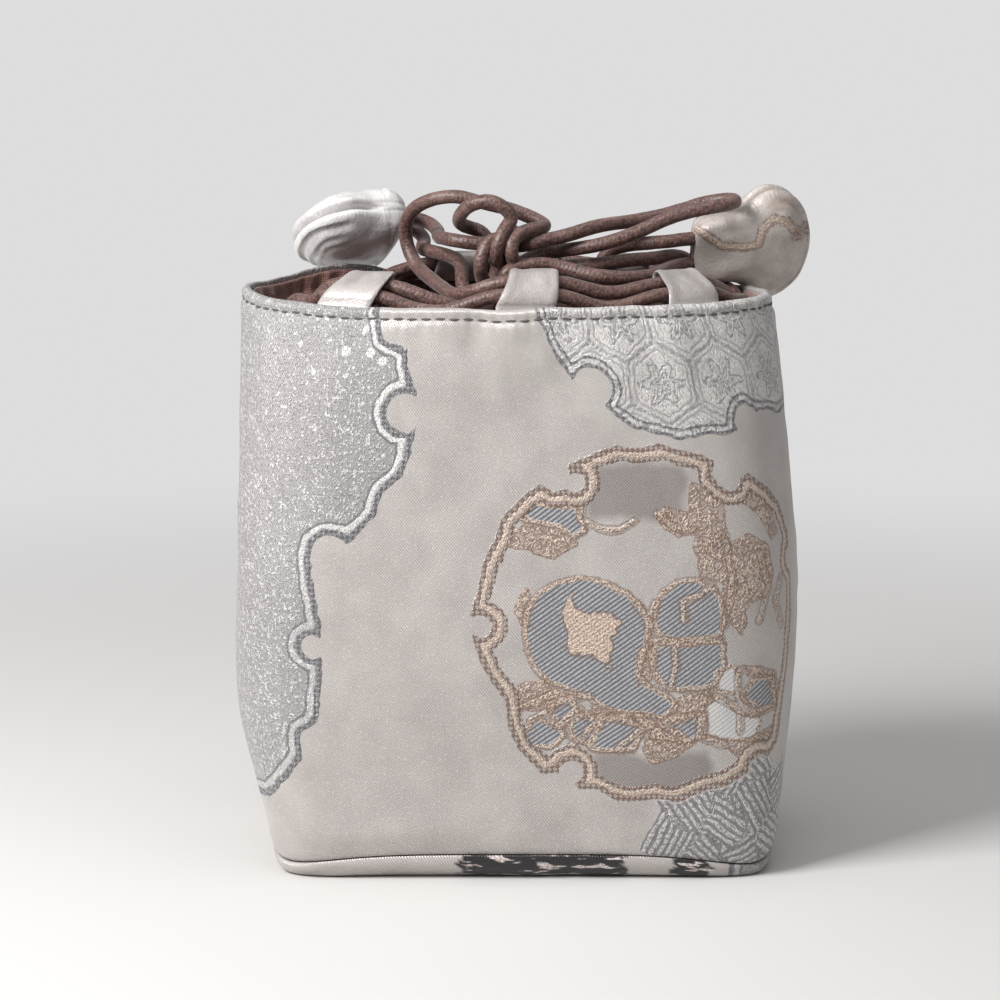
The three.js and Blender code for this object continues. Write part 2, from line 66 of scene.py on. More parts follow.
# The routes of the cords, as in the CAD model
LEFT_TIE = [
    (-18.3, 23.8, 112.2), (-15.9, 22.2, 111.4), (-14.5, 17.9, 110.5), (-14.2, 9.8, 110.4),
    (-13.2, 1.9, 110.9), (-10.4, -1.5, 110.7), (-8.8, -1.7, 110.5),
]
LEFT_BOW = [
    (6.4, -2.2, 111.2), (9.4, -1.8, 111.9), (14.8, 1.2, 113.2), (21.6, 5.5, 113.7),
    (27.3, 8, 114.6), (35, 8.8, 116.8), (38.9, 6.9, 117.4), (39.4, 3.8, 117.2), (36.3, 1.1, 116.8),
    (28.6, 0.2, 115.2), (19.9, -1.1, 111.6), (13.8, -1, 109.8), (6.4, 0.8, 108.6),
]
LEFT_DRAWSTRING = [
    (-11, 4.2, 118.2), (-16, 6.3, 117.2),
    (-19.1, 8.9, 115), (-20.3, 11.1, 111.6), (-19.6, 11, 107.6), (-17.9, 8.2, 105),
    (-16, 2.3, 103.9), (-13.6, -5.4, 103.1), (-10.8, -14.4, 102.6), (-7.9, -18, 103.6),
    (-3.9, -20.1, 105.2), (-2.4, -20.3, 105.5), (2.4, -20.2, 105.5), (7.2, -19.7, 105.5),
    (8.7, -19.4, 105.2), (16.1, -17.5, 103.3), (23.6, -15.1, 104.4), (28, -13, 104.5),
    (32.1, -10.5, 104.5), (33.2, -9.4, 104.3), (36.7, -4.5, 102.2), (37.4, 0, 101.1),
    (36.1, 4.5, 101.2), (32.7, 9.5, 102.9), (27.2, 12, 103), (24.7, 14.6, 104.4),
    (20.2, 16.3, 104.3), (14, 17.9, 104.4), (9.3, 18.9, 104.8), (4.5, 19.5, 104.8),
    (-1.9, 19.8, 104.8), (-5, 19.5, 104.3), (-9.8, 19.2, 104.4), (-14.6, 18.5, 104.6),
    (-16.1, 18.2, 104.5), (-24.2, 15.3, 102.3), (-30.9, 12, 97.5), (-36.8, 7, 95.5),
    (-39.5, 1.5, 94.7), (-39.4, -2.9, 95), (-37.9, -6.8, 96.9), (-34.3, -11.1, 102.7),
    (-32.4, -12.8, 104.2), (-31, -13.6, 104.5), (-26.5, -15.5, 104.5), (-22, -17, 104.5),
    (-14.6, -18.9, 102.2), (-10.1, -18.5, 100.8), (-6.8, -15.8, 99.9), (-5.4, -11.3, 100.1),
    (-5.8, -6.7, 100.8), (-8.4, -2.6, 100.8), (-9.6, -1.1, 102), (-10.1, 4.6, 106),
    (-11.5, 7.1, 106.8), (-16.3, 13.6, 107.4), (-17.3, 16.5, 107.4), (-17.1, 24.4, 108.3),
    (-18.1, 26.9, 109.3), (-19.5, 27.4, 110),
]
RIGHT_TIE = [
    (32.2, 9.2, 105.6), (29.5, 7.8, 105.3), (26.8, 1.8, 105.2), (24.1, -3.8, 104.8),
    (20.3, -6.5, 104.7), (14, -7.4, 105.2), (6.4, -5.2, 106.8),
]
RIGHT_LOOP = [
    (-0.7, -3.9, 114.7), (-1.1, -4.6, 116), (-4.4, -4.5, 118.2), (-8.2, -3.1, 117.4),
    (-10.3, 0.1, 114.9), (-9.9, 4.3, 113.1), (-8.1, 6, 112.2), (-6.6, 5.9, 112),
]
RIGHT_DRAWSTRING = [
    (6.4, 2.6, 105.6), (14.2, 1.4, 106.2), (20.3, 2.9, 106.8), (24.4, 5.5, 106.8),
    (30.3, 12.6, 106.3), (33.3, 14.4, 103.9), (35.4, 13.7, 101.9), (36.5, 12.8, 101.2),
    (39.2, 8.8, 100.6), (40.6, 4.8, 98), (41.1, 0.2, 97.6), (40.5, -4.4, 100.4),
    (38.2, -9.3, 100.9), (35, -12.1, 102.6), (33.8, -13, 103), (29.7, -15.5, 103),
    (25.4, -17.6, 103), (23.9, -18.2, 102.8), (17.9, -19.7, 101.1), (14.8, -20.3, 101),
    (7.5, -22, 103.4), (1.1, -22.4, 103.4), (-3.7, -22.4, 103.4), (-12.7, -21.6, 100.6),
    (-17.2, -20.7, 100.7), (-23.1, -19.6, 102.7), (-24.6, -19.2, 103), (-29.1, -17.6, 103),
    (-33.5, -15.7, 103), (-36.5, -12.6, 100.9), (-39, -9.9, 101.4), (-39.8, -8.8, 100.6),
    (-41.4, -6, 96.3), (-42.6, -1.4, 94.8), (-42, 3.3, 94.5), (-39.7, 7.7, 94.6),
    (-36.6, 11.2, 95.1), (-31.8, 14.8, 97.9), (-23.8, 18.8, 100.5), (-16.6, 20.9, 103.3),
    (-10.2, 21.8, 103), (-2.2, 22.2, 103), (5.8, 21.9, 103.1), (12.2, 21.1, 103),
    (20, 19.4, 102.9), (26, 17.3, 102.9), (29.8, 13.8, 100.9), (31.8, 10.8, 100.3),
    (31.5, 7, 100.9), (28.9, 4, 102.2), (22.7, 2.6, 103.2), (16.9, 3.8, 104), (15.2, 5.7, 105.7),
    (16.5, 7.3, 107.7), (18.7, 7.8, 108.7), (27.7, 6.7, 109.8), (32.3, 7.8, 110.2),
]
# The stretches the knot hides or presses together. The bow's return wraps the knot's front, turns back at its
# right and rises into the arch, a little lower than the CAD model's solid barrel lets it, and stands for the
# first points of the left drawstring's route
LEFT_TO_BOW = [(-5.6, -2, 110.2), (-2.6, -1.4, 109.8), (0.6, -2.4, 110), (2.6, -4, 110.5), (4.6, -3.4, 111)]
BOW_TO_ARCH = [
    (3.8, 0.4, 108.2), (1.6, -1.6, 107.2), (0.2, -4.2, 106.9), (-0.8, -6.2, 107.9), (-1.1, -6.8, 109.4),
    (-1, -6.5, 110.9), (0, -5.6, 112.2), (1.9, -4.2, 113), (4.2, -2.4, 113.1), (5.2, -0.4, 113.3),
    (4.3, 1.3, 113.9), (2, 1.9, 114.9), (-0.8, 2.4, 115.9), (-4, 3, 116.7), (-7.3, 3.4, 117.4),
]
TIE_TO_LOOP = [
    (3.8, -5.7, 107.1), (1.4, -5.7, 106.8), (-1.2, -6.5, 106.2), (-2.4, -6.8, 105), (-1.8, -5.6, 103.6),
    (0.2, -3, 103.3), (1.2, -0.4, 104.8), (-0.2, 0.4, 106.4), (-2.2, -1.8, 107), (-3.4, -4.4, 107.3),
    (-3.8, -6.3, 108.6), (-3.4, -6.9, 110.4), (-2.7, -6.4, 112.4), (-1.7, -5, 113.9),
]
LOOP_TO_DRAWSTRING = [(-4.8, 4.2, 109.7), (-2.2, 2, 107.4), (0, 1.8, 106), (3, 2.2, 105.6)]
# Where the cords run on into the toggles
LEFT_TOGGLE_ENDS = (-21.6, 24.2, 111.8), (-22.8, 26.2, 110.4)
RIGHT_TOGGLE_ENDS = (35.4, 10, 106.3), (35.6, 8.9, 109.8)
# The turn that holds the knot
KNOT_TURNS = [
    (-1, -2.6, 107.5), (-1.7, -4.2, 110.2), (-3.4, -4.4, 111.7), (-5.2, -5.2, 110.7), (-6.3, -6.1, 108.2),
    (-6.5, -5.8, 105.6), (-5.8, -3.6, 103.6), (-4.6, -0.4, 103), (-3.7, 2.6, 104.4), (-3.3, 4.4, 107.4),
    (-2.5, 3.6, 110.6), (-1.6, 1, 112.4), (-0.3, -1.6, 112.3), (0.9, -1.6, 110.6),
]
CORD_DIAMETER = 2.5

# Body, outside sizes, as in the CAD model
RIM_HEIGHT = 101.6
BELLY_HEIGHT = 45
WIDTHS = (92, 100.4, 94.2)
DEPTHS = (56, 62, 52)
SQUARENESSES = (8, 4, 2.2)
SHIFTS = (0, 0, -1.9)
# Where the rim rises, as shares of the way round, by how much, and over what share
LEFT_END = 0.5
LEFT_END_RISE = 1.4
BACK_LEFT = 0.385
BACK_LEFT_RISE = 2.9
RISE_WIDTH = 0.05
RISE_HEIGHT = 30
SEAM_HEIGHT = 4.5
CORNER_DROP = 2.4
DROP_FADE = 22.5
WALL_FOOT = 4.8
BROCADE_THICKNESS = 0.8
HEM_THICKNESS = 1.2
HEM_FOOT = 98.1
LINING_INSET = 3.2
LINING_THICKNESS = 0.45
LINING_FOOT = 3.95
LINING_TOP = 100.3
SHOULDER_FOOT = 96.3
TOP_LINING_INSET = 1.55
WADDING_OUTSIDE = 1.45
WADDING_INSIDE = 2.85
WADDING_FOOT = 3.15
FOOT_INSET = 1.9
WADDING_TOP = 96
RIM_LENGTH = 238.2
# Half the gap between two panels at a side seam, as a share of the way round
SEAM_SHARE = 0.15 / RIM_LENGTH
SIDES = {"back": (SEAM_SHARE, 0.5 - SEAM_SHARE), "front": (0.5 + SEAM_SHARE, 1 - SEAM_SHARE)}
# How far the foot of the cloth is drawn in at each end, up to what height, and from where to where across
LEFT_FOOT_PULL = 2.7
RIGHT_FOOT_PULL = 0.6
FOOT_PULL_FOOT = 2
FOOT_PULL_TOP = 34
FOOT_PULL_SPAN = (22, 46)
TAB_WIDTH = 10
# For each tab its place across, its panel, and how far it tilts inwards, in degrees, and leans sideways
TABS = {
    "tab_front_left": (-31, "front", 56, 0.5),
    "tab_front_center": (1.5, "front", 40, 0.45),
    "tab_front_right": (32, "front", 56, 0.3),
    "tab_back_right": (23, "back", 58, 0),
    "tab_back_center": (4.5, "back", 52, 0),
    "tab_back_left": (-11, "back", 58, 0),
}


def body_size(height, sizes):
    """A size at a height, which leaves its belly value as a parabola towards the base and the rim."""
    base, belly, rim = sizes
    low = belly - (belly - base) * ((BELLY_HEIGHT - height) / BELLY_HEIGHT) ** 2
    high = belly - (belly - rim) * ((height - BELLY_HEIGHT) / (RIM_HEIGHT - BELLY_HEIGHT)) ** 2
    return np.where(height < BELLY_HEIGHT, low, high)


def smoothstep(value, low, high):
    t = np.clip((value - low) / (high - low), 0, 1)
    return t * t * (3 - 2 * t)


def bump(value, middle, width):
    return np.exp(-(((value - middle) / width) ** 2))


def section_point(turn, height):
    """A point of the level section at a height, a superellipse, at a share of a turn about its middle."""
    half_width, half_depth = body_size(height, WIDTHS) / 2, body_size(height, DEPTHS) / 2
    squareness = body_size(height, SQUARENESSES)
    across, along = np.cos(TURN * turn), np.sin(TURN * turn)
    reach = np.abs(across / half_width) ** squareness + np.abs(along / half_depth) ** squareness
    reach = reach ** (-1 / squareness)
    return body_size(height, SHIFTS) + reach * across, reach * along


# Which turn each share of the way round is at, for every whole height
HEIGHTS = np.arange(-1.0, 113.0)
SHARES = np.linspace(0, 1, 1025)


def turns_at(height):
    turns = np.linspace(0, 1, 4001)
    x, y = section_point(turns, height)
    lengths = np.concatenate([[0], np.cumsum(np.hypot(np.diff(x), np.diff(y)))])
    return np.interp(SHARES, lengths / lengths[-1], turns)


TURNS = np.array([turns_at(height) for height in HEIGHTS])


def wall(share, height, inset):
    """Points of the wall, some way inside its outer face."""
    share, height, inset = np.broadcast_arrays(share, height, inset)
    row = np.clip(height - HEIGHTS[0], 0, len(HEIGHTS) - 1.001)
    column = (share % 1.0) * (len(SHARES) - 1)
    i, j = row.astype(int), np.minimum(column.astype(int), len(SHARES) - 2)
    a, b = row - i, column - j
    turn = (1 - a) * ((1 - b) * TURNS[i, j] + b * TURNS[i, j + 1])
    turn = turn + a * ((1 - b) * TURNS[i + 1, j] + b * TURNS[i + 1, j + 1])
    x, y = section_point(turn, height)
    step = 1e-4
    x0, y0 = section_point(turn - step, height)
    x1, y1 = section_point(turn + step, height)
    length = np.hypot(x1 - x0, y1 - y0)
    left, right = smoothstep(-x, *FOOT_PULL_SPAN), smoothstep(x, *FOOT_PULL_SPAN)
    pull = LEFT_FOOT_PULL * left - RIGHT_FOOT_PULL * right
    x = x + smoothstep(height, FOOT_PULL_TOP, FOOT_PULL_FOOT) * pull
    along_x, along_y = (x1 - x0) / length, (y1 - y0) / length
    return np.stack([x - along_y * inset, y + along_x * inset, height + 0 * x], -1)


def rim_rise(share, level):
    """How far the rim stands above level at its left end and at the back left."""
    share = share % 1.0
    rise = LEFT_END_RISE * bump(share, LEFT_END, RISE_WIDTH)
    rise = rise + BACK_LEFT_RISE * bump(share, BACK_LEFT, RISE_WIDTH)
    return smoothstep(level, RIM_HEIGHT - RISE_HEIGHT, RIM_HEIGHT) * rise


def cornerness(share):
    """How much of a corner there is at a share of the way round the base, from 0 to 1."""
    point = wall(share, 0.0, 0.0)
    fullness = np.abs(point[..., 0] * point[..., 1]) / (WIDTHS[0] * DEPTHS[0] / 4)
    return (fullness / 2 ** (-2 / SQUARENESSES[0])) ** 4


def place_layer(inset, level, share):
    """Points of a layer some way inside the wall's outer face, under a rim that rises."""
    return wall(share, level + rim_rise(share, level), inset)


def place_outer(inset, level, share):
    """Points of the outer cloth, whose foot drops at the corners."""
    point = place_layer(inset, level, share)
    above = smoothstep(level, WALL_FOOT, WALL_FOOT + DROP_FADE)
    point[..., 2] -= CORNER_DROP * cornerness(share) * (1 - above)
    return point


def noise(u, v, seed, around=64):
    """Smooth noise from -1 to 1, over cells 1 across, which repeats after so many cells along u."""
    table = np.random.default_rng(seed).uniform(-1, 1, (around, 64))
    i, j = np.floor(u).astype(int), np.floor(v).astype(int)
    a, b = u - i, v - j
    a, b = a * a * (3 - 2 * a), b * b * (3 - 2 * b)
    near = table[i % around, j % 64] * (1 - a) + table[(i + 1) % around, j % 64] * a
    far = table[i % around, (j + 1) % 64] * (1 - a) + table[(i + 1) % around, (j + 1) % 64] * a
    return near * (1 - b) + far * b


# Meshes

def run_along(path):
    """How far along the path each of its points lies."""
    return np.concatenate([[0], np.cumsum(np.linalg.norm(np.diff(path, axis=0), axis=1))])


def points_at(path, lengths):
    """The path's points at some lengths along it."""
    run = run_along(path)
    return np.stack([np.interp(lengths, run, column) for column in path.T], 1)


def evenly(path, step):
    """The path's points, the same distance apart."""
    length = run_along(path)[-1]
    return points_at(path, np.linspace(0, length, int(round(length / step)) + 1))


def eased(path, rounds):
    """The path with its kinks rounded off in place, its two ends kept."""
    for _ in range(rounds):
        path[1:-1] = path[1:-1] * 0.5 + (path[:-2] + path[2:]) * 0.25
    return path


def ways_along(path):
    """The direction of the path at each of its points."""
    ways = np.gradient(path, axis=0)
    return ways / np.linalg.norm(ways, axis=1)[:, None]


def rings_round(path, radius, sides):
    """Circles round a path, turned as little as they can be. radius has a row for each point of the path."""
    ways = ways_along(path)
    across = np.cross(ways[0], (0.0, 0.3, 1.0))
    first = []
    for way in ways:
        across = across - way * (across @ way)
        across /= np.linalg.norm(across)
        first.append(across)
    first = np.array(first)
    second = np.cross(ways, first)
    angles = np.linspace(0, TURN, sides, endpoint=False)[:, None]
    circles = np.cos(angles) * first[:, None] + np.sin(angles) * second[:, None]
    return path[:, None] + radius[..., None] * circles


def grid_faces(rows, columns, wrap_rows=False, wrap_columns=False):
    """The quads of a grid of points, and their corners' rows and columns, which run on past a wrap."""
    down, across = np.arange(rows - (not wrap_rows)), np.arange(columns - (not wrap_columns))
    i, j = (index.ravel() for index in np.meshgrid(down, across, indexing="ij"))
    corner_rows = np.stack([i, i, i + 1, i + 1], 1)
    corner_columns = np.stack([j, j + 1, j + 1, j], 1)
    return (corner_rows % rows) * columns + corner_columns % columns, corner_rows, corner_columns


def end_caps(rows, columns, start=0):
    """The two faces that close the ends of a row of rings."""
    last = start + (rows - 1) * columns
    return [range(start, start + columns), range(last, last + columns)]


def add_piece(name, points, faces, material, cloth, extra_faces=(), fields=None):
    """A mesh object. cloth holds the cloth's own millimetres per face corner, fields a number per point."""
    mesh = bpy.data.meshes.new(name)
    polygons = faces.tolist() + [list(face) for face in extra_faces]
    mesh.from_pydata((np.asarray(points).reshape(-1, 3) * MM).tolist(), [], polygons)
    corners = np.zeros((len(mesh.loops), 2), np.float32)
    corners[: cloth.size // 2] = cloth.reshape(-1, 2)
    mesh.uv_layers.new(name="cloth").data.foreach_set("uv", corners.ravel())
    for field, values in (fields or {}).items():
        attribute = mesh.attributes.new(field, "FLOAT", "POINT")
        attribute.data.foreach_set("value", np.asarray(values, np.float32).ravel())
    made = bmesh.new()
    made.from_mesh(mesh)
    bmesh.ops.recalc_face_normals(made, faces=made.faces)
    made.to_mesh(mesh)
    made.free()
    mesh.shade_smooth()
    mesh.materials.append(material)
    piece = bpy.data.objects.new(name, mesh)
    bpy.context.scene.collection.objects.link(piece)
    return piece


def settle(piece, slot, *nodes):
    """The piece rides on the pouch's one body and stands for CAD nodes, whose meshes it hides. The slot is not
    used.
    """
    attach(piece, "root")
    if nodes:
        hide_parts(*nodes)
    return piece


# Materials

def add_node(tree, kind, **values):
    """A shader node of a kind, with the values of some of its inputs."""
    node = tree.nodes.new("ShaderNode" + kind)
    for name, value in values.items():
        node.inputs[name].default_value = value
    return node


def feed(tree, places, *values):
    """Numbers, colours, sums or other nodes' results go into sockets, in their order."""
    for place, value in zip(places, values):
        if isinstance(value, Sum):
            value = value.socket
        if isinstance(value, (tuple, float, int)):
            place.default_value = value
        else:
            tree.links.new(value, place)


class Sum:
    """A number in a material's nodes, which takes part in arithmetic."""

    def __init__(self, tree, socket):
        self.tree = tree
        self.socket = socket

    def math(self, operation, *others):
        node = add_node(self.tree, "Math")
        node.operation = operation
        feed(self.tree, node.inputs, self, *others)
        return Sum(self.tree, node.outputs[0])

    def __add__(self, other):
        return self.math("ADD", other)

    def __sub__(self, other):
        return self.math("SUBTRACT", other)

    def __rsub__(self, other):
        return self * -1 + other

    def __mul__(self, other):
        return self.math("MULTIPLY", other)

    def max(self, other):
        return self.math("MAXIMUM", other)

    def wave(self, period):
        """A sine of that period, from 0 to 1."""
        return (self * (TURN / period)).math("SINE") * 0.5 + 0.5

    def ramp(self, low, high):
        """0 below low and 1 above high, with a smooth step between. low may be the larger."""
        node = add_node(self.tree, "MapRange")
        node.interpolation_type = "SMOOTHSTEP"
        span = (low, high, 0.0, 1.0) if low <= high else (high, low, 1.0, 0.0)
        feed(self.tree, node.inputs, self, *span)
        return Sum(self.tree, node.outputs[0])

    def line(self, middle, half, soft):
        """1 where the value is within half of a middle."""
        return (self - middle).math("ABSOLUTE").ramp(half + soft, half - soft)


class Finish:
    """A material under construction. u and v are the cloth's own millimetres, across and up."""

    def __init__(self, name):
        self.material = bpy.data.materials.new(name)
        self.material.use_nodes = True
        self.tree = self.material.node_tree
        self.shader = self.tree.nodes["Principled BSDF"]
        uv = add_node(self.tree, "UVMap")
        uv.uv_map = "cloth"
        split = add_node(self.tree, "SeparateXYZ")
        feed(self.tree, split.inputs, uv.outputs[0])
        self.u, self.v = Sum(self.tree, split.outputs[0]), Sum(self.tree, split.outputs[1])

    def field(self, name):
        """A number that the mesh holds at each point."""
        node = add_node(self.tree, "Attribute")
        node.attribute_name = name
        return Sum(self.tree, node.outputs["Fac"])

    def noise(self, size, stretch=(1, 1), detail=2.0):
        """Noise from 0 to 1 whose spots are about size millimetres, stretched across and up."""
        place = add_node(self.tree, "CombineXYZ")
        feed(self.tree, place.inputs, self.u * (1 / stretch[0]), self.v * (1 / stretch[1]))
        node = add_node(self.tree, "TexNoise", Scale=1 / size, Detail=detail)
        feed(self.tree, node.inputs, place.outputs[0])
        return Sum(self.tree, node.outputs["Fac"])

    def mix(self, share, first, second):
        """The first colour, and by a share the second."""
        node = add_node(self.tree, "Mix")
        node.data_type = "RGBA"
        feed(self.tree, (node.inputs[0], node.inputs[6], node.inputs[7]), share, first, second)
        return node.outputs[2]

    def finish(self, colour, roughness, height=None, depth=0.1, **plain):
        """Colour, roughness, bump, whose height from 0 to 1 is depth millimetres, and plain numbers."""
        inputs = self.shader.inputs
        feed(self.tree, (inputs["Base Color"], inputs["Roughness"]), colour, roughness)
        for name, value in plain.items():
            inputs[name.replace("_", " ")].default_value = value
        if height is not None:
            node = add_node(self.tree, "Bump", Distance=depth * MM, Strength=1.0)
            feed(self.tree, (node.inputs["Height"],), height)
            feed(self.tree, (inputs["Normal"],), node.outputs[0])
        return self.material


def colour(red, green, blue):
    """A colour written as on a screen, 0 to 255, as a shader takes it."""
    linear = [((c / 255 + 0.055) / 1.055) ** 2.4 if c > 10 else c / 255 / 12.92 for c in (red, green, blue)]
    return (*linear, 1.0)


SATIN = colour(196, 190, 186)
SATIN_SHADE = colour(158, 151, 148)
SHADOW_SATIN = colour(112, 105, 102)
GREY_GROUND = colour(152, 149, 149)
GREY_THREAD = colour(134, 132, 134)
GREY_DARK = colour(104, 103, 107)
WHITE_THREAD = colour(218, 215, 213)
BLUE_GREY = colour(154, 153, 155)
BLUE_GREY_DARK = colour(104, 106, 113)
GOLD_THREAD = colour(178, 154, 138)
GOLD_SHADE = colour(124, 98, 84)
# Pale gold: painted glint on the gold threads
GOLD_GLINT = colour(212, 194, 178)
CORD_BROWN = colour(98, 67, 60)
CORD_DARK = colour(56, 34, 30)
CORD_PALE = colour(170, 138, 128)
COTTON = colour(146, 107, 98)
COTTON_DARK = colour(106, 72, 65)
COTTON_HIGHLIGHT = colour(166, 128, 118)


def twill(f):
    """The satin's fine slanting ribs, from 0 to 1."""
    return (f.u + f.v * 0.8 + f.noise(1.4) * 0.25).wave(0.5)


def grey_medallions(f, cloth):
    """A speckled weft inside a line of white, between beaded grey lines."""
    medallion = f.field("medallion")
    inside = medallion.ramp(0.05, -0.05)
    stipple = f.mix(medallion.ramp(-4.0, -22.0) * 0.5, GREY_GROUND, SATIN_SHADE)
    stipple = f.mix(cloth.speckle * 0.7, stipple, WHITE_THREAD)
    stipple = f.mix(cloth.fleck.ramp(0.45, 0.35) * 0.45, stipple, GREY_DARK)
    stipple = f.mix(f.field("specks").ramp(0.12, -0.12) * 0.9, stipple, WHITE_THREAD)
    made = f.mix(inside, cloth.made, stipple)
    # The white line is drawn stronger higher up the wall: painted light falling from above
    white_line = medallion.line(-1.65, 0.42, 0.16) * (f.v.ramp(40, 80) * 0.5 + 0.45)
    made = f.mix(white_line, made, WHITE_THREAD)
    grey_lines = medallion.line(-0.6, 0.5, 0.14) * (cloth.beads * 0.55 + 0.45)
    cloth.made = f.mix(grey_lines.max(medallion.line(-2.4, 0.2, 0.12) * 0.8), made, GREY_DARK)
    cloth.height += inside * cloth.speckle * 0.7 + grey_lines * 0.8 + white_line * 0.5
    cloth.dull.append(inside)


def pale_medallions(f, cloth):
    """A hexagon lattice of grey lines, with a flower in each cell."""
    lattice, flower, hexagon = f.field("lattice"), f.field("flower"), f.field("hexagon")
    inside = lattice.ramp(0.05, -0.05)
    frayed = (f.noise(0.75) - 0.5) * 1.6
    broken = f.noise(0.6, detail=1.0).ramp(0.36, 0.5)
    border = (hexagon + frayed * 0.35).line(0.0, 0.34, 0.2)
    border = border.max((hexagon + frayed * 0.4).line(1.05, 0.2, 0.16) * 0.8)
    worn = flower + frayed
    petals = worn.line(0.0, 0.42, 0.25).max(worn.line(-1.6, 0.4, 0.3)).max(worn.line(-3.0, 0.6, 0.3))
    marks = (border * (broken * 0.35 + 0.5)).max(petals * broken * 0.85).max(cloth.speckle * 0.5)
    ground = f.mix(cloth.fleck.ramp(0.4, 0.6) * 0.6 + 0.3, SATIN, WHITE_THREAD)
    made = f.mix(inside, cloth.made, f.mix(marks, ground, GREY_THREAD))
    double_line = lattice.line(-0.35, 0.3, 0.14).max(lattice.line(-1.6, 0.24, 0.14))
    cloth.made = f.mix(double_line * (cloth.beads * 0.4 + 0.6), made, GREY_DARK)
    cloth.height += inside * (1 - marks) * 0.7 + double_line * 0.6


def silver_corner(f, cloth):
    """Tilted squares of striped weft."""
    inside = f.field("squares").ramp(0.1, -0.1)
    stripe = f.field("square_stripe").wave(1.25)
    broken = stripe.ramp(0.25, 0.6) * (cloth.fleck.ramp(0.36, 0.5) * 0.6 + 0.4)
    silver = f.mix(broken * 0.85, GREY_THREAD, f.mix(cloth.fleck.ramp(0.4, 0.6), SATIN, WHITE_THREAD))
    cloth.made = f.mix(inside, cloth.made, f.mix(cloth.speckle * 0.6, silver, GREY_DARK))
    cloth.height += inside * stripe * 0.6
    cloth.dull.append(inside)


def gold_ring(f, cloth):
    """Striped hills and tiles, filigree and lines in gold thread, and the lines round them. The gold's raised
    grains carry painted glints.
    """
    ring, hills, whites, strokes = f.field("ring"), f.field("hills"), f.field("whites"), f.field("strokes")
    grain = cloth.grain
    # Gold thread with painted glints: paler where its grain stands highest
    bright_gold = f.mix(grain, GOLD_THREAD, GOLD_GLINT)
    shadow = f.mix(cloth.ribs, SHADOW_SATIN, SATIN_SHADE)
    made = f.mix(f.field("dark").ramp(0.9, -1.2) * 0.85, cloth.made, shadow)
    stripes = (f.u * 0.72 - f.v + f.noise(1.2) * 0.15).wave(0.86).ramp(0.25, 0.65)
    striped = f.mix(stripes, BLUE_GREY_DARK, f.mix(grain * 0.35, BLUE_GREY, WHITE_THREAD))
    in_hills = hills.ramp(0.1, -0.1)
    made = f.mix(in_hills, made, striped)
    made = f.mix(whites.ramp(0.1, -0.1), made, f.mix(stripes * 0.45, WHITE_THREAD, BLUE_GREY))

    curls = f.noise(1.35, detail=1.0)
    in_filigree = f.field("filigree").ramp(0.35, -0.25)
    filigree = in_filigree * curls.line(0.5, 0.04, 0.03)
    made = f.mix(in_filigree * 0.45, made, GOLD_THREAD)
    made = f.mix(filigree * 0.9, made, bright_gold)
    beside = curls.line(0.4, 0.04, 0.03).max(curls.line(0.6, 0.04, 0.03))
    made = f.mix(in_filigree * beside * 0.75, made, GOLD_SHADE)
    blossom = f.field("blossom")
    in_blossom = blossom.ramp(0.12, -0.12)
    made = f.mix(in_blossom, made, bright_gold)
    edges = hills.line(0.45, 0.4, 0.2).max(whites.line(0.4, 0.3, 0.2)).max(strokes.ramp(0.55, 0.25))
    made = f.mix(edges * 0.9, made, f.mix(grain, GOLD_SHADE, GOLD_GLINT))
    shade = hills.line(1.0, 0.22, 0.15).max(blossom.line(0.2, 0.18, 0.12))
    shade = shade.max(strokes.line(0.75, 0.18, 0.12)).max(in_filigree.line(0.5, 0.3, 0.15))
    made = f.mix(shade * (grain * 0.5 + 0.3), made, GOLD_SHADE)

    tan_line = ring.line(-1.3, 0.42, 0.16)
    beaded_lines = ring.line(-0.35, 0.5, 0.16).max(ring.line(-2.15, 0.34, 0.16))
    made = f.mix(tan_line * 0.9, made, bright_gold)
    cloth.made = f.mix(beaded_lines * (cloth.beads * 0.5 + 0.42), made, GOLD_SHADE)
    gold = tan_line.max(edges).max(in_blossom).max(filigree)
    cloth.height += in_hills * stripes * 0.5 + gold * (grain * 0.5 + 0.6) + beaded_lines * cloth.beads
    cloth.dull += [gold, in_hills]


def night_stretches(f, cloth):
    """Near-black weave with scattered pale bits, in the base's front edge."""
    bits = f.noise(1.7, (2.6, 0.8)).ramp(0.55, 0.62)
    night = f.mix(bits, colour(38, 34, 36), f.mix(cloth.grain, colour(178, 150, 146), WHITE_THREAD))
    cloth.made = f.mix(f.field("night"), cloth.made, night)


def brocade_material():
    """Silver satin with the medallions, gold ring and dark stretches that the fields outline."""
    f = Finish("brocade")
    ribs, fleck = twill(f), f.noise(0.5, detail=1.0)
    satin = f.mix(f.noise(9.0, detail=3.0).ramp(0.3, 0.7) * 0.28 + ribs * 0.6, SATIN, SATIN_SHADE)
    cloth = SimpleNamespace(
        made=f.mix(fleck.ramp(0.58, 0.72) * 0.35, satin, WHITE_THREAD),
        height=ribs * 0.28 + fleck * 0.25,
        dull=[],
        ribs=ribs,
        fleck=fleck,
        speckle=f.noise(0.9, (0.85, 1.15), detail=1.0).line(0.5, 0.035, 0.035),
        beads=(f.u.wave(0.95) + f.v.wave(0.95)).ramp(0.7, 1.25),
        grain=f.noise(0.42, detail=1.0).ramp(0.36, 0.62),
    )
    for weave_in in (grey_medallions, pale_medallions, silver_corner, gold_ring, night_stretches):
        weave_in(f, cloth)
    return f.finish(
        cloth.made, reduce(Sum.max, cloth.dull) * 0.14 + 0.38, cloth.height, 0.2,
        Metallic=0.22, Sheen_Weight=0.2, Sheen_Roughness=0.4, Anisotropic=0.3, Specular_IOR_Level=0.6,
    )


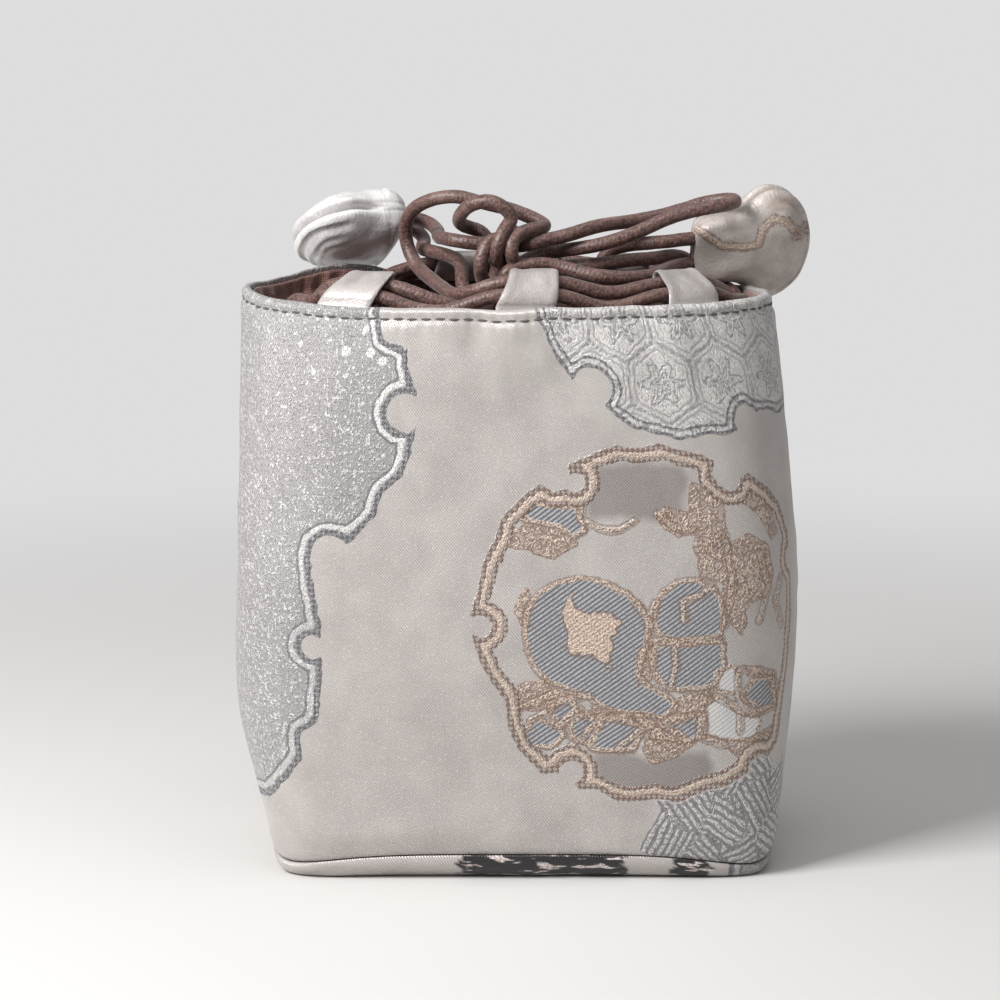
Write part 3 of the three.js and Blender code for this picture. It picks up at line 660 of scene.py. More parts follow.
def trim_material(name, first, second, gold_line=False):
    """Plain satin with a little woven grey, for the tabs and toggles."""
    f = Finish(name)
    ribs = twill(f)
    grain = f.noise(0.5, (0.9, 1.1), detail=1.0)
    made = f.mix(f.noise(6.0).ramp(0.42, 0.62) * 0.6 + ribs * 0.12, first, second)
    made = f.mix(grain.ramp(0.55, 0.7) * 0.3, made, GREY_THREAD)
    height = ribs * 0.08 + grain * 0.7
    if gold_line:
        line = f.field("gold_line")
        thread = f.noise(0.45, detail=1.0).ramp(0.4, 0.6)
        raised = line.line(0.0, 0.5, 0.22)
        # The raised gold line carries painted glints where its thread stands highest
        made = f.mix(raised, made, f.mix(thread, GOLD_THREAD, GOLD_GLINT))
        made = f.mix(line.line(0.75, 0.22, 0.2) * (thread * 0.6 + 0.2), made, GOLD_SHADE)
        made = f.mix(f.field("brown_patch").ramp(0.5, -0.4) * (thread * 0.6 + 0.3), made, GOLD_SHADE)
        made = f.mix(f.field("pale_patch").ramp(0.6, -0.4) * (thread * 0.6 + 0.1), made, GOLD_THREAD)
        height += raised * (thread * 0.8 + 0.8)
    return f.finish(
        made, 0.42, height, 0.14,
        Metallic=0.15, Sheen_Weight=0.25, Sheen_Roughness=0.4, Specular_IOR_Level=0.5,
    )


def cord_material():
    """Waxed cotton cord: fine braid, with pale streaks of wax scuffs and painted highlight, fine pale specks
    of painted glint, and painted shade in the braid's grooves. u is the turn round it, v runs along.
    """
    f = Finish("waxed_cord")
    along, around = f.v * (1 / 0.8), f.u * (4 / TURN)
    braid = (along + around).wave(1).max((along - around).wave(1))
    fibre = f.noise(0.5, (1.2, 2.2), detail=3.0)
    wear_and_sheen = f.noise(4.5, (2, 2.4), detail=3.0).ramp(0.52, 0.74)
    made = f.mix(fibre.ramp(0.3, 0.65), CORD_DARK, CORD_BROWN)
    # Pale streaks: wax scuffs, and painted highlight
    made = f.mix(wear_and_sheen * 0.3, made, CORD_PALE)
    # Fine pale specks: painted glints of light on the fibres
    made = f.mix(f.noise(0.28, (1.2, 1.2), detail=1.0).ramp(0.5, 0.7) * 0.28, made, CORD_PALE)
    # Darker in the braid's grooves: painted shade
    made = f.mix(braid.ramp(0.25, 0.0) * 0.25, made, CORD_DARK)
    return f.finish(
        made, fibre * 0.2 + 0.4, braid * 0.2 + fibre * 0.7, 0.2,
        Specular_IOR_Level=0.55, Coat_Weight=0.14, Coat_Roughness=0.34, Sheen_Weight=0.15,
    )


def cotton_material():
    """Plain-woven brown cotton, with painted highlights on the raised crossings of its threads."""
    f = Finish("cotton")
    crossings = f.u.wave(0.42) * f.v.wave(0.42)
    slub = f.noise(1.1, (0.7, 2.0), detail=3.0)
    made = f.mix(slub.ramp(0.3, 0.7), COTTON_DARK, COTTON)
    # Paler on the raised crossings: painted highlight
    made = f.mix(crossings.ramp(0.1, 0.8) * 0.35, made, COTTON_HIGHLIGHT)
    return f.finish(made, 0.86, crossings + slub * 0.6, 0.12, Sheen_Weight=0.35, Sheen_Roughness=0.5)


def wadding_material():
    f = Finish("wadding")
    fluff = f.noise(2.5, detail=6.0)
    made = f.mix(fluff, colour(214, 208, 196), colour(238, 234, 226))
    return f.finish(made, 0.95, fluff, 0.6, Sheen_Weight=0.3)


def thread_material():
    f = Finish("sewing_thread")
    ply = (f.u + f.v * 2).wave(0.3)
    # Lighter on the raised plies and darker in the grooves between them: painted light and shade
    return f.finish(f.mix(ply, colour(70, 65, 65), colour(104, 99, 98)), 0.6, ply, 0.05)


BROCADE = brocade_material()
TAB_SATIN = trim_material("tab_satin", colour(176, 169, 166), colour(138, 131, 128))
TOGGLE_SATIN = trim_material("toggle_satin", colour(222, 219, 218), colour(194, 190, 189))
TOGGLE_GOLD = trim_material("toggle_gold", colour(192, 183, 177), colour(160, 151, 145), gold_line=True)
WAXED_CORD = cord_material()
COTTON_CLOTH = cotton_material()
WADDING = wadding_material()
THREAD = thread_material()


# Cords

CORD_STEP = 0.4
KNOT_STEP = 0.35
CORD_SIDES = 20
CORD_UNEVENNESS = 0.03
EASING_ROUNDS = 16


def spline(places, steps=14):
    """A centripetal Catmull-Rom curve through the places, as the CAD model runs its cords."""
    places = np.array(places, float)
    before, after = 2 * places[0] - places[1], 2 * places[-1] - places[-2]
    held = np.concatenate([[before], places, [after]])
    gaps = np.maximum(np.linalg.norm(np.diff(held, axis=0), axis=1), 1e-6) ** 0.5
    t = np.linspace(0, 1, steps, endpoint=False)[:, None]
    made = []
    for k in range(1, len(held) - 2):
        p0, p1, p2, p3 = held[k - 1 : k + 3]
        d0, d1, d2 = gaps[k - 1 : k + 2]
        out = ((p1 - p0) / d0 - (p2 - p0) / (d0 + d1) + (p2 - p1) / d1) * d1
        back = ((p2 - p1) / d1 - (p3 - p1) / (d1 + d2) + (p3 - p2) / d2) * d1
        square = 3 * (p2 - p1) - 2 * out - back
        cube = 2 * (p1 - p2) + out + back
        made.append(p1 + out * t + square * t**2 + cube * t**3)
    return np.concatenate([*made, places[-1:]])


def add_cord(name, places, nodes, seed, step=CORD_STEP):
    """A round cord through some places, a little uneven, with rounded ends, and the path of its middle."""
    path = eased(evenly(spline(places), step), EASING_ROUNDS)
    radius = CORD_DIAMETER / 2
    lengths = run_along(path)
    from_end = np.minimum(lengths, lengths[-1] - lengths)
    caps = np.sqrt(np.clip(1 - (1 - np.clip(from_end / radius, 0, 1)) ** 2, 0.02, 1))
    along, around = np.meshgrid(lengths, np.arange(CORD_SIDES) / CORD_SIDES, indexing="ij")
    uneven = noise(around * 6, along / 2.2, seed, 6) + 0.5 * noise(around * 12, along / 0.7, seed + 1, 12)
    points = rings_round(path, radius * caps[:, None] * (1 + CORD_UNEVENNESS * uneven), CORD_SIDES)
    faces, rows, columns = grid_faces(len(path), CORD_SIDES, wrap_columns=True)
    cloth = np.stack([columns * (TURN / CORD_SIDES), lengths[rows]], -1)
    piece = add_piece(name, points, faces, WAXED_CORD, cloth, end_caps(len(path), CORD_SIDES))
    return settle(piece, "waxed_cord", *nodes), path


def declare_cord(path):
    path[0] * MM
    path[::3] * MM


knot, _ = add_cord("knot_wraps", KNOT_TURNS, ["knot"], 31, KNOT_STEP)
left_cord, left_path = add_cord(
    "cord_left",
    [
        LEFT_TOGGLE_ENDS[0], *LEFT_TIE, *LEFT_TO_BOW, *LEFT_BOW, *BOW_TO_ARCH, *LEFT_DRAWSTRING,
        LEFT_TOGGLE_ENDS[1],
    ],
    ["cord_left_tie", "cord_left_bow", "cord_left_drawstring"], 11,
)
right_cord, right_path = add_cord(
    "cord_right",
    [
        RIGHT_TOGGLE_ENDS[0], *RIGHT_TIE, *TIE_TO_LOOP, *RIGHT_LOOP, *LOOP_TO_DRAWSTRING, *RIGHT_DRAWSTRING,
        RIGHT_TOGGLE_ENDS[1],
    ],
    ["cord_right_tie", "cord_right_loop", "cord_right_drawstring"], 21,
)


# Woven pattern: outlines in the cloth's own millimetres, across from the middle of the front and up

CLOTH_ROUND = 280

GREY_MEDALLION = [
    (-82, 106), (-26, 106), (-26, 100.7), (-24.3, 96.4), (-19.7, 94.8), (-19.1, 91.1), (-17.6, 87),
    (-17.4, 84), (-17.6, 81.1), (-18.3, 77.4), (-19.7, 72.8), (-23.1, 70), (-24.4, 65.8), (-29.2, 60.5),
    (-33.5, 57.6), (-35.5, 57.7), (-34.7, 51.6), (-33.6, 46.4), (-33.7, 36.3), (-34, 30.6), (-34.7, 28.3),
    (-37.6, 26.8), (-37.3, 22.4), (-42.3, 17.6), (-46, 15), (-53.6, 13.5), (-82, 12),
]
# Round bites out of an outline: their middle and radius
GREY_NOTCHES = [(-19.8, 83.8, 3.3), (-32.2, 58.6, 3.6), (-35.2, 42.3, 2.2)]
LATTICE_MEDALLION = [
    (5.4, 106), (6, 99.7), (8.8, 93.6), (11.7, 89), (14, 87.2), (17.7, 84.2), (22.1, 80.8), (25.6, 80),
    (30.3, 78.8), (34.9, 79.7), (40, 79.4), (43.3, 80.2), (47.2, 83), (50.5, 82.7), (53.5, 81.6),
    (60, 82.4), (67, 83.3), (84, 80), (84, 106),
]
LATTICE_MIDDLE = (28.5, 88.6)
LATTICE_WIDTH = 12.4
LATTICE_NOTCHES = [(15.0, 88, 3.6), (43.8, 81.7, 2.7)]
RING = [
    (9.1, 70.4), (9.7, 74.6), (12.6, 76), (18.2, 78), (22.7, 77.4), (26.1, 78.3), (29.5, 77.1),
    (35.6, 75.2), (34.8, 72.5), (36.4, 70.3), (41.9, 72.4), (45.1, 70), (49.1, 66.6), (51.8, 61),
    (52.1, 55.8), (52.4, 50), (51.7, 44.1), (51, 38), (49.5, 32.8), (47.3, 24.1), (43.5, 21.4),
    (41.5, 20.6), (36.3, 18.1), (32.4, 17.2), (27.3, 15.1), (23.8, 15.7), (18.6, 14.8), (13.4, 17.3),
    (11.3, 17), (9.4, 18.6), (6.5, 20.4), (4.4, 19.9), (2.4, 22.2), (0, 24.7), (-1.4, 28.8), (-2.1, 33.8),
    (-5.5, 38.7), (-7.4, 44.1), (-7.8, 47.5), (-7.3, 51.1), (-5.4, 58.2), (-1.9, 65.9), (1.4, 69.1),
    (4.6, 71.5), (6.8, 69.8),
]
RING_NOTCHES = [
    (10.6, 71.8, 1.9), (38.2, 71.6, 2.0), (-6.2, 46.7, 2.1), (9.2, 20.2, 2.2), (42.6, 20.4, 2.3),
    (52.4, 56.3, 2.2),
]
# The silver corner's squares: their middle, half size, tilt and the slant of their stripes, in degrees
CORNER_SQUARES = [
    (30.0, 14.4, 4.6, 40, 40), (36.6, 11.6, 4.4, 62, 62), (42.6, 15.2, 4.6, 35, 35),
    (27.0, 8.0, 4.2, 68, -22), (33.6, 4.6, 4.4, 50, 50), (40.4, 5.4, 4.6, 30, -60),
    (46.6, 8.6, 4.6, 55, 55), (36.4, 19.6, 3.6, 60, -30), (42.2, 20.6, 3.2, 45, 45),
    (48.6, 16.4, 3.8, 30, -60),
]
# Shaded grounds
CLOUD = [
    (12.3, 72.5), (14.8, 74.4), (18.5, 74.9), (22.2, 75.3), (26, 75), (29.6, 74.6), (30.6, 72.2),
    (29.6, 68.7), (28.6, 65.7), (23.7, 64.7), (18.4, 65.7), (12.5, 65.2), (12, 68.9),
]
OVAL = [
    (13, 21.9), (13.2, 23.9), (19.7, 23.9), (23.3, 22), (26.8, 23.9), (32.9, 23.7), (34.2, 20.6),
    (31.9, 17.4), (25.8, 16.4), (18.7, 17), (13.9, 18.9),
]
# Striped hills, tiles and slabs
HILLS = [
    [
        (2.3, 49.5), (4.1, 52), (7.3, 53.8), (10.9, 54.5), (15, 53.8), (18.5, 51.9), (20.8, 49.5),
        (22, 46.4), (21.5, 43.3), (20.8, 40.9), (20, 38.4), (22, 35.3), (25.6, 33.4), (26.5, 32.1),
        (25, 30.6), (19.7, 31.3), (15.6, 32.2), (12.6, 34.1), (9.1, 35.7), (6.1, 36.9), (3.8, 39.1),
        (2.3, 42.2), (1.8, 45.8),
    ],
    [
        (23.9, 46.4), (24.1, 49.4), (25.3, 52.2), (28, 53.9), (31, 54.1), (33.4, 52.5), (34.7, 50.3),
        (34.6, 47.3), (34.3, 44.8), (31.5, 44.4), (27.9, 44.4), (24.9, 44.8),
    ],
    [
        (27.1, 42.5), (34.9, 42.8), (35, 39.2), (33.8, 35.9), (31, 35.6), (28, 35.6), (25.6, 36),
        (23.8, 38.4), (23.2, 41.5), (25, 43),
    ],
    [(1.4, 65.9), (3.2, 67.4), (10.1, 67), (11.3, 63.5), (9.9, 62.9), (7.6, 64.6), (3.2, 65.5)],
    [(6, 32.2), (9, 33.4), (9.9, 30.4), (7.3, 29)],
    [(1.4, 26.9), (3.9, 29.2), (7.4, 27.1), (5.7, 25.2), (2.3, 25.3)],
    [(9.7, 29.1), (12.1, 30.5), (13.9, 29.1), (12.3, 25.8), (9.7, 26.6)],
    [(13.1, 25), (15, 29.6), (17.9, 29.8), (21, 27.8), (19.7, 24.8), (15.6, 24.6)],
    [(23.3, 27.2), (26.8, 29.5), (31.6, 30), (31.9, 27), (28.6, 26.1)],
    [(33, 60.2), (35, 61.4), (36.4, 60.4), (35, 58.8)],
    [(39.5, 33.2), (42, 36), (45.4, 35), (45.8, 31.8), (42.8, 30.6)],
]
WHITES = [
    [(31.6, 32), (35.2, 33), (37.7, 29.8), (42.3, 28.6), (41, 25.7), (36.5, 26), (32.8, 26.9), (31, 29.5)],
    [(34.1, 35.3), (34.7, 37.7), (37.1, 38.5), (37.9, 35.9), (37.1, 34.1)],
    [(39.2, 54.9), (41.3, 56.2), (41.9, 53.4), (40.4, 51.4)],
    [(36.8, 50.4), (38.4, 51.4), (39.4, 49.6), (37.8, 48.6)],
]
BLOSSOM = [
    (7.9, 47.1), (8.4, 50.7), (9.4, 52.1), (9.8, 49.5), (11.4, 48.7), (13.8, 49), (15.5, 48.8), (17.4, 47),
    (17, 45.2), (15.6, 44.6), (16.2, 42.1), (15.2, 40.9), (15.7, 39.1), (13.8, 40.2), (12.6, 41.5),
    (9.7, 41.4), (8.2, 42.8), (9.2, 44.6),
]
# Gold filigree: worms of gold thread over the satin
FILIGREE = [
    [(-0.8, 62.8), (2.3, 64.8), (8.1, 63), (10.8, 61.1), (6.2, 58.2), (2.1, 59.9), (-2.6, 61.1)],
    [
        (30.8, 71.4), (36.5, 69.6), (36.5, 63), (35.6, 60.6), (35.4, 53.9), (31.6, 54.7), (30.5, 60.8),
        (31.5, 63.2), (30.2, 66.3),
    ],
    [
        (35.9, 60), (40.4, 62.1), (44.6, 59.8), (45.5, 54.2), (43.3, 50.2), (39, 50), (39.7, 46.3),
        (38.7, 44.4), (36.4, 46.5), (35.2, 51.5),
    ],
    [(38.6, 71), (42.4, 71.6), (46, 67), (47.4, 61.6), (45.4, 60.6), (43.4, 65), (40, 67.6), (37.4, 68)],
    [(-0.9, 34.7), (1.4, 36.7), (5.5, 37), (7.3, 34.7), (6.1, 31.7), (2, 31.5), (-0.9, 32.2)],
    [
        (12.6, 32.2), (17.9, 31.1), (25.6, 30.3), (28, 33.9), (34, 35.3), (33.7, 33.1), (31, 30.1),
        (23.3, 27.2), (17.9, 29.1), (13.8, 29.7),
    ],
    [(0.4, 51.6), (1.6, 53.6), (2.6, 50), (2, 46.6), (1, 46.4), (-0.4, 49)],
    [(20.8, 42), (22.6, 44), (24, 41.4), (23, 37), (20.8, 35.8), (20.2, 38.6)],
    [(21.6, 24.6), (23, 29), (28, 27.6), (30.4, 25.2), (26.4, 22.6), (23, 21.6)],
    [(36, 24.4), (40, 25.4), (46, 27.6), (47, 24), (42, 22.4), (38, 22.8)],
    [(38.6, 38.8), (43, 38.2), (46.8, 36.4), (47.6, 31), (46.4, 30.4), (44, 36), (40, 37)],
    [(24, 65.6), (26, 67.4), (29.6, 66.4), (31.6, 63.4), (28, 62), (25.6, 63.4)],
]
# Gold lines, each through its points
STROKES = [
    [(11.3, 65.2), (14.4, 63.8), (17.8, 63.4), (20.4, 64.9)],
    [(11.3, 65.2), (11.6, 68.6), (11.7, 73)], [(24.4, 66.2), (27.6, 63.6), (31, 63.2)],
    [(22.3, 46.6), (22.8, 43.8), (26.8, 43.6), (34.9, 43.7)], [(27, 43.4), (27, 39.2), (26.4, 36.2)],
    [(20.4, 50.2), (22.6, 47), (23.6, 50.6)], [(28.6, 47.4), (28.2, 50.6), (31, 51.6), (33.4, 53.4)],
    [(-3.4, 31.2), (0.4, 31.8), (6.6, 34.6), (12.4, 34)],
    [(2.6, 29.4), (8.4, 33.8), (11.2, 31)],
    [(9.2, 24.4), (15.8, 31.6)],
    [(6.6, 28.4), (10.2, 31.6), (14.2, 28.8)],
    [(17.4, 24.2), (21.4, 28.4), (26, 25)],
    [(20.4, 30.6), (27.8, 25)],
    [(31.8, 33.6), (31.2, 26.4), (36, 24.8)],
    [(34, 33.6), (38.4, 31), (38.6, 27)],
    [(38.4, 38), (38, 34), (40.6, 29.8), (45.6, 30.6)],
    [(36.2, 62), (37.2, 54), (35.2, 46)],
    [(42.6, 58.6), (44.2, 52), (42, 46.6)],
    [(47.6, 53.6), (46, 49.6), (47.8, 45)],
]
# White dots in the grey medallion: their middle and radius
SPECKS = [
    (-38.9, 99.2, 0.5), (-28.4, 98, 0.75), (-31.8, 94.2, 1.0), (-26.8, 94, 0.9), (-24.3, 92.7, 0.8),
    (-31.2, 90, 0.6), (-32.8, 91.2, 0.4), (-29.8, 91.2, 0.4), (-32.7, 88.8, 0.4), (-30, 88.8, 0.4),
    (-31.2, 87.6, 0.4), (-41.8, 94.6, 0.6), (-35.4, 95.8, 0.5), (-38.1, 90.2, 0.6), (-27.4, 85.2, 0.4),
    (-23.4, 76.4, 0.5), (-36.4, 80.4, 0.5),
]
# Where the near-black weave shows in the base's front edge, across
DARK_STRETCHES = [(-10.4, 19.4), (27.2, 34.8)]
# How each panel's cloth was cut: a sign and a shift across, and a sign and a shift up, for each set of motifs
CUTS = {
    "front": {"grey": (1, 0, 1, 0), "lattice": (1, 0, 1, 0), "ring": (1, 0, 1, 0), "squares": (1, 0, 1, 0)},
    "back": {
        "grey": (-1, 140, 1, -12), "lattice": (-1, 140, -1, 100), "ring": (1, -98, 1, -14),
        "squares": (1, -62, 1, -82),
    },
    "base": {
        "grey": (1, -400, 1, 60), "lattice": (1, 400, 1, 0), "ring": (1, 400, 1, 0),
        "squares": (1, 400, 1, 0),
    },
}
# A distance that stands for far from any outline
FAR = 9.0


def to_strokes(strokes, u, v):
    """How far the points (u, v) lie from some lines."""
    nearest = np.full(u.shape, 1e9)
    for points in strokes:
        for (ax, ay), (bx, by) in zip(points[:-1], points[1:]):
            dx, dy = bx - ax, by - ay
            t = np.clip(((u - ax) * dx + (v - ay) * dy) / (dx * dx + dy * dy), 0, 1)
            nearest = np.minimum(nearest, np.hypot(u - ax - t * dx, v - ay - t * dy))
    return nearest


def to_outline(points, u, v):
    """How far the points (u, v) lie outside a closed outline, less than 0 inside it."""
    closed = [*points, points[0]]
    inside = np.zeros(u.shape, bool)
    for (ax, ay), (bx, by) in zip(closed[:-1], closed[1:]):
        if ay != by:
            inside ^= ((ay > v) != (by > v)) & (u < (bx - ax) * (v - ay) / (by - ay) + ax)
    nearest = to_strokes([closed], u, v)
    return np.where(inside, -nearest, nearest)


def to_any(outlines, u, v):
    return np.minimum.reduce([to_outline(points, u, v) for points in outlines])


def notched(points, notches, u, v):
    """An outline with round bites taken out of it."""
    away = to_outline(points, u, v)
    for x, y, radius in notches:
        away = np.maximum(away, radius - np.hypot(u - x, v - y))
    return away


def to_squares(squares, u, v):
    """How far outside some tilted squares the points lie, and the way across the nearest one's stripes."""
    nearest, stripe = np.full(u.shape, 1e9), np.zeros(u.shape)
    for x, y, half, turn, slant in squares:
        c, s = math.cos(math.radians(turn)), math.sin(math.radians(turn))
        a, b = (u - x) * c + (v - y) * s, (v - y) * c - (u - x) * s
        away = np.maximum(np.abs(a), np.abs(b)) - half
        d, e = math.cos(math.radians(slant)), math.sin(math.radians(slant))
        stripe = np.where(away < nearest, (u - x) * d + (v - y) * e, stripe)
        nearest = np.minimum(nearest, away)
    return nearest, stripe


def to_hexagons(u, v, width):
    """How far a point is from the lines of a hexagon lattice, and its place in its cell."""
    tall = width * math.sqrt(3)
    a = np.stack([(u + width / 2) % width - width / 2, (v + tall / 2) % tall - tall / 2])
    b = np.stack([u % width - width / 2, v % tall - tall / 2])
    place = np.where((a**2).sum(0) < (b**2).sum(0), a, b)
    x, y = np.abs(place)
    return width / 2 - np.maximum(x, x * 0.5 + y * math.sqrt(3) / 2), place


def pattern_fields(u, v, cut):
    """The woven pattern's distances at points of the cloth, whose outlines waver a little."""
    wave = 0.2 * noise(u / 2.3, v / 2.3, 5) + 0.2 * noise(u / 0.8, v / 0.8, 6)
    sway = 0.2 * noise(u / 2.1 + 9, v / 2.1, 16) + 0.2 * noise(u / 0.8 + 9, v / 0.8, 17)
    u, v = u + wave, v + sway
    at = {kind: (su * u + du, sv * v + dv) for kind, (su, du, sv, dv) in CUTS[cut].items()}
    ring = notched(RING, RING_NOTCHES, *at["ring"])

    def within(away):
        return np.where(ring < -1.9, away, FAR)

    squares, stripe = to_squares(CORNER_SQUARES, *at["squares"])
    across, up = at["lattice"]
    hexagon, place = to_hexagons(across - LATTICE_MIDDLE[0], up - LATTICE_MIDDLE[1], LATTICE_WIDTH)
    petals = 3.0 + 1.1 * np.cos(6 * np.arctan2(place[1], place[0]))
    across, up = at["grey"]
    specks = np.minimum.reduce([np.hypot(across - x, up - y) - radius for x, y, radius in SPECKS])
    return {
        "medallion": np.maximum(notched(GREY_MEDALLION, GREY_NOTCHES, across, up), 1.5 - ring),
        "lattice": np.maximum(notched(LATTICE_MEDALLION, LATTICE_NOTCHES, *at["lattice"]), 1.5 - ring),
        "ring": np.minimum(ring, 3.0),
        "hills": within(to_any(HILLS, *at["ring"])),
        "whites": within(to_any(WHITES, *at["ring"])),
        "blossom": within(to_outline(BLOSSOM, *at["ring"]) + 0.5 * noise(u / 0.7, v / 0.7, 18)),
        "filigree": within(to_any(FILIGREE, *at["ring"])),
        "strokes": within(to_strokes(STROKES, *at["ring"])),
        "dark": within(to_any([CLOUD, OVAL], *at["ring"])),
        "squares": np.maximum(squares, 0.5 - ring),
        "square_stripe": stripe,
        "specks": specks,
        "hexagon": hexagon,
        "flower": np.hypot(*place) - petals,
    }


# Outer cloth

# Soft dents, less than 0 for swellings: across, up, half width, half height and depth
DENTS = [
    (-6.8, 97.8, 2.6, 3.4, 0.55), (-12, 90, 7, 6, -0.5), (6, 87, 7, 5, 0.6), (20, 92, 8, 5, -0.55),
    (2, 98, 3.2, 3.5, -0.5), (6.5, 93.5, 3.4, 4, -0.5), (27, 98, 2.6, 4, 0.4), (33, 94, 4, 6, -0.5),
    (-2, 20, 26, 9, 0.5), (-22, 8, 14, 4, -0.55), (34, 9, 12, 5, -0.6), (12, 9, 8, 5, 0.45),
    (-38, 15, 4.5, 10, -0.6), (-31, 22, 5, 9, 0.45), (-16, 64, 9, 16, -0.4), (-26, 44, 7, 12, 0.4),
    (-44, 60, 4, 30, 0.35), (50, 60, 4, 26, 0.3), (-30, 97, 3, 4, 0.35), (38, 96, 3.5, 4, 0.35),
    (120, 80, 12, 9, 0.5), (150, 30, 22, 12, 0.5), (95, 40, 12, 22, -0.4),
]
STITCH_DROP = 1.9
STITCH_SPACING = 2.4
STITCH_SIDES = 8
STITCH_STEPS = 7
# How many points each piece has round the body
OUTER_COLUMNS = 250
BASE_COLUMNS = 420
LINING_COLUMNS = 240
FLOOR_COLUMNS = 160
WADDING_COLUMNS = 120


def cloth_across(share):
    """Millimetres of cloth across from the middle of the front, which run on over the right end."""
    share = np.where(share < 0.5, share + 1, share)
    return (share - 0.75) * CLOTH_ROUND


def cloth_relief(share, level):
    """How far the outer cloth stands out from the plain wall: soft folds, and puckers at the topstitching."""
    around = share * CLOTH_ROUND
    below = RIM_HEIGHT - STITCH_DROP - level
    relief = 0.55 * noise(share * 12, level / 24, 2, 12)
    relief = relief + 0.3 * noise(share * 30 + level / 34, level / 13, 3, 30)
    relief = relief + 0.1 * noise(share * 90 + level / 14, level / 4.5, 4, 90)
    near_rim = smoothstep(below, 24, 0) * smoothstep(below, -1.5, 2)
    folds = noise(share * 52 + 0.2 * noise(share * 40, level / 9, 9, 40), level / 22, 7, 52)
    relief = relief + 0.42 * near_rim * folds

    wander = 0.22 * noise(share * 70, level / 5, 10, 70)
    stitched = np.cos(TURN * (around / STITCH_SPACING + wander))
    uneven = 0.5 + 0.5 * noise(share * 90, level / 6, 8, 90)
    pucker = smoothstep(below, 4.2, 0) * smoothstep(below, -1.9, -0.9)
    relief = relief + 0.1 * pucker * stitched * uneven
    relief = relief - 0.34 * bump(below, 0, 0.5)
    relief = relief + 0.16 * (bump(below, -1.1, 0.7) + bump(below, 1.9, 1.4) * uneven)

    for u, v, width, tall, depth in DENTS:
        relief = relief - depth * bump(cloth_across(share), u, width) * bump(level, v, tall)
    seam = np.minimum(share % 0.5, 0.5 - share % 0.5) * CLOTH_ROUND
    foot = np.maximum(level - WALL_FOOT, 0)
    relief = relief * smoothstep(seam, 0, 3) * smoothstep(foot, 0, 5)
    relief = np.maximum(relief + 0.1, -0.6)
    return relief - 0.45 * np.exp(-seam / 0.55) - 0.5 * np.exp(-foot / 0.9)


def outer_cloth(inset, relief, level, share):
    """Points of the outer cloth, whose rim also sways up and down a little."""
    points = place_outer(inset - relief, level, share)
    sway = 0.28 * noise(share * 24, 0.0, 19, 24) + 0.14 * noise(share * 70, 0.0, 20, 70)
    points[..., 2] += sway * smoothstep(level, 88, 100)
    return points


def spread(section, shares):
    """The inset, level and share of each point of a section at each of some shares."""
    inset, level = (np.repeat(column[:, None], len(shares), 1) for column in section.T)
    return inset, level, np.repeat(shares[None], len(section), 0)


def add_panel(name, section, shares, points, ups, material, fields=None):
    """A panel whose section closes on itself, with both its ends closed.

    ups is how far up the cloth each point of the section lies, and the first one again.
    """
    columns = len(shares)
    faces, rows, cols = grid_faces(len(section), columns, wrap_rows=True)
    cloth = np.stack([cloth_across(shares)[cols], ups[rows]], -1)
    triangles = tessellate_polygon([[Vector((x, y, 0)) for x, y in section]])
    first = [np.array(triangle) * columns for triangle in triangles]
    last = [triangle[::-1] + columns - 1 for triangle in first]
    return add_piece(name, points, faces, material, cloth, first + last, fields)


def add_outer(side):
    """A brocade panel with its hem rolled over the rim. Its section runs up outside, over and down inside."""
    shares = np.linspace(*SIDES[side], OUTER_COLUMNS)
    fold = HEM_THICKNESS / 2
    hem_top = RIM_HEIGHT - fold
    turns = np.linspace(0, math.pi, 9)
    face = [(0.0, level) for level in np.arange(WALL_FOOT, hem_top, 0.5)]
    fold_start = len(face)
    face += [(fold - fold * math.cos(turn), hem_top + fold * math.sin(turn)) for turn in turns]
    face += [(HEM_THICKNESS, level) for level in np.linspace(hem_top, HEM_FOOT, 6)[1:]]
    face += [(BROCADE_THICKNESS, level) for level in np.linspace(HEM_FOOT - BROCADE_THICKNESS, WALL_FOOT, 24)]
    section = np.array(face)
    inset, level, share = spread(section, shares)
    over_fold = np.arange(len(section)) - fold_start
    relief = cloth_relief(share, level) * np.clip(1 - over_fold / (len(turns) - 1), 0, 1)[:, None]
    points = outer_cloth(inset, relief, level, share)
    run = run_along(section) + WALL_FOOT
    fields = pattern_fields(cloth_across(share), np.repeat(run[:, None], len(shares), 1), side)
    ups = np.append(run, run[-1] + 1)
    piece = add_panel("outer_cloth_" + side, section, shares, points, ups, BROCADE, fields)
    settle(piece, "brocade", "outer_" + side)


add_outer("back")
add_outer("front")


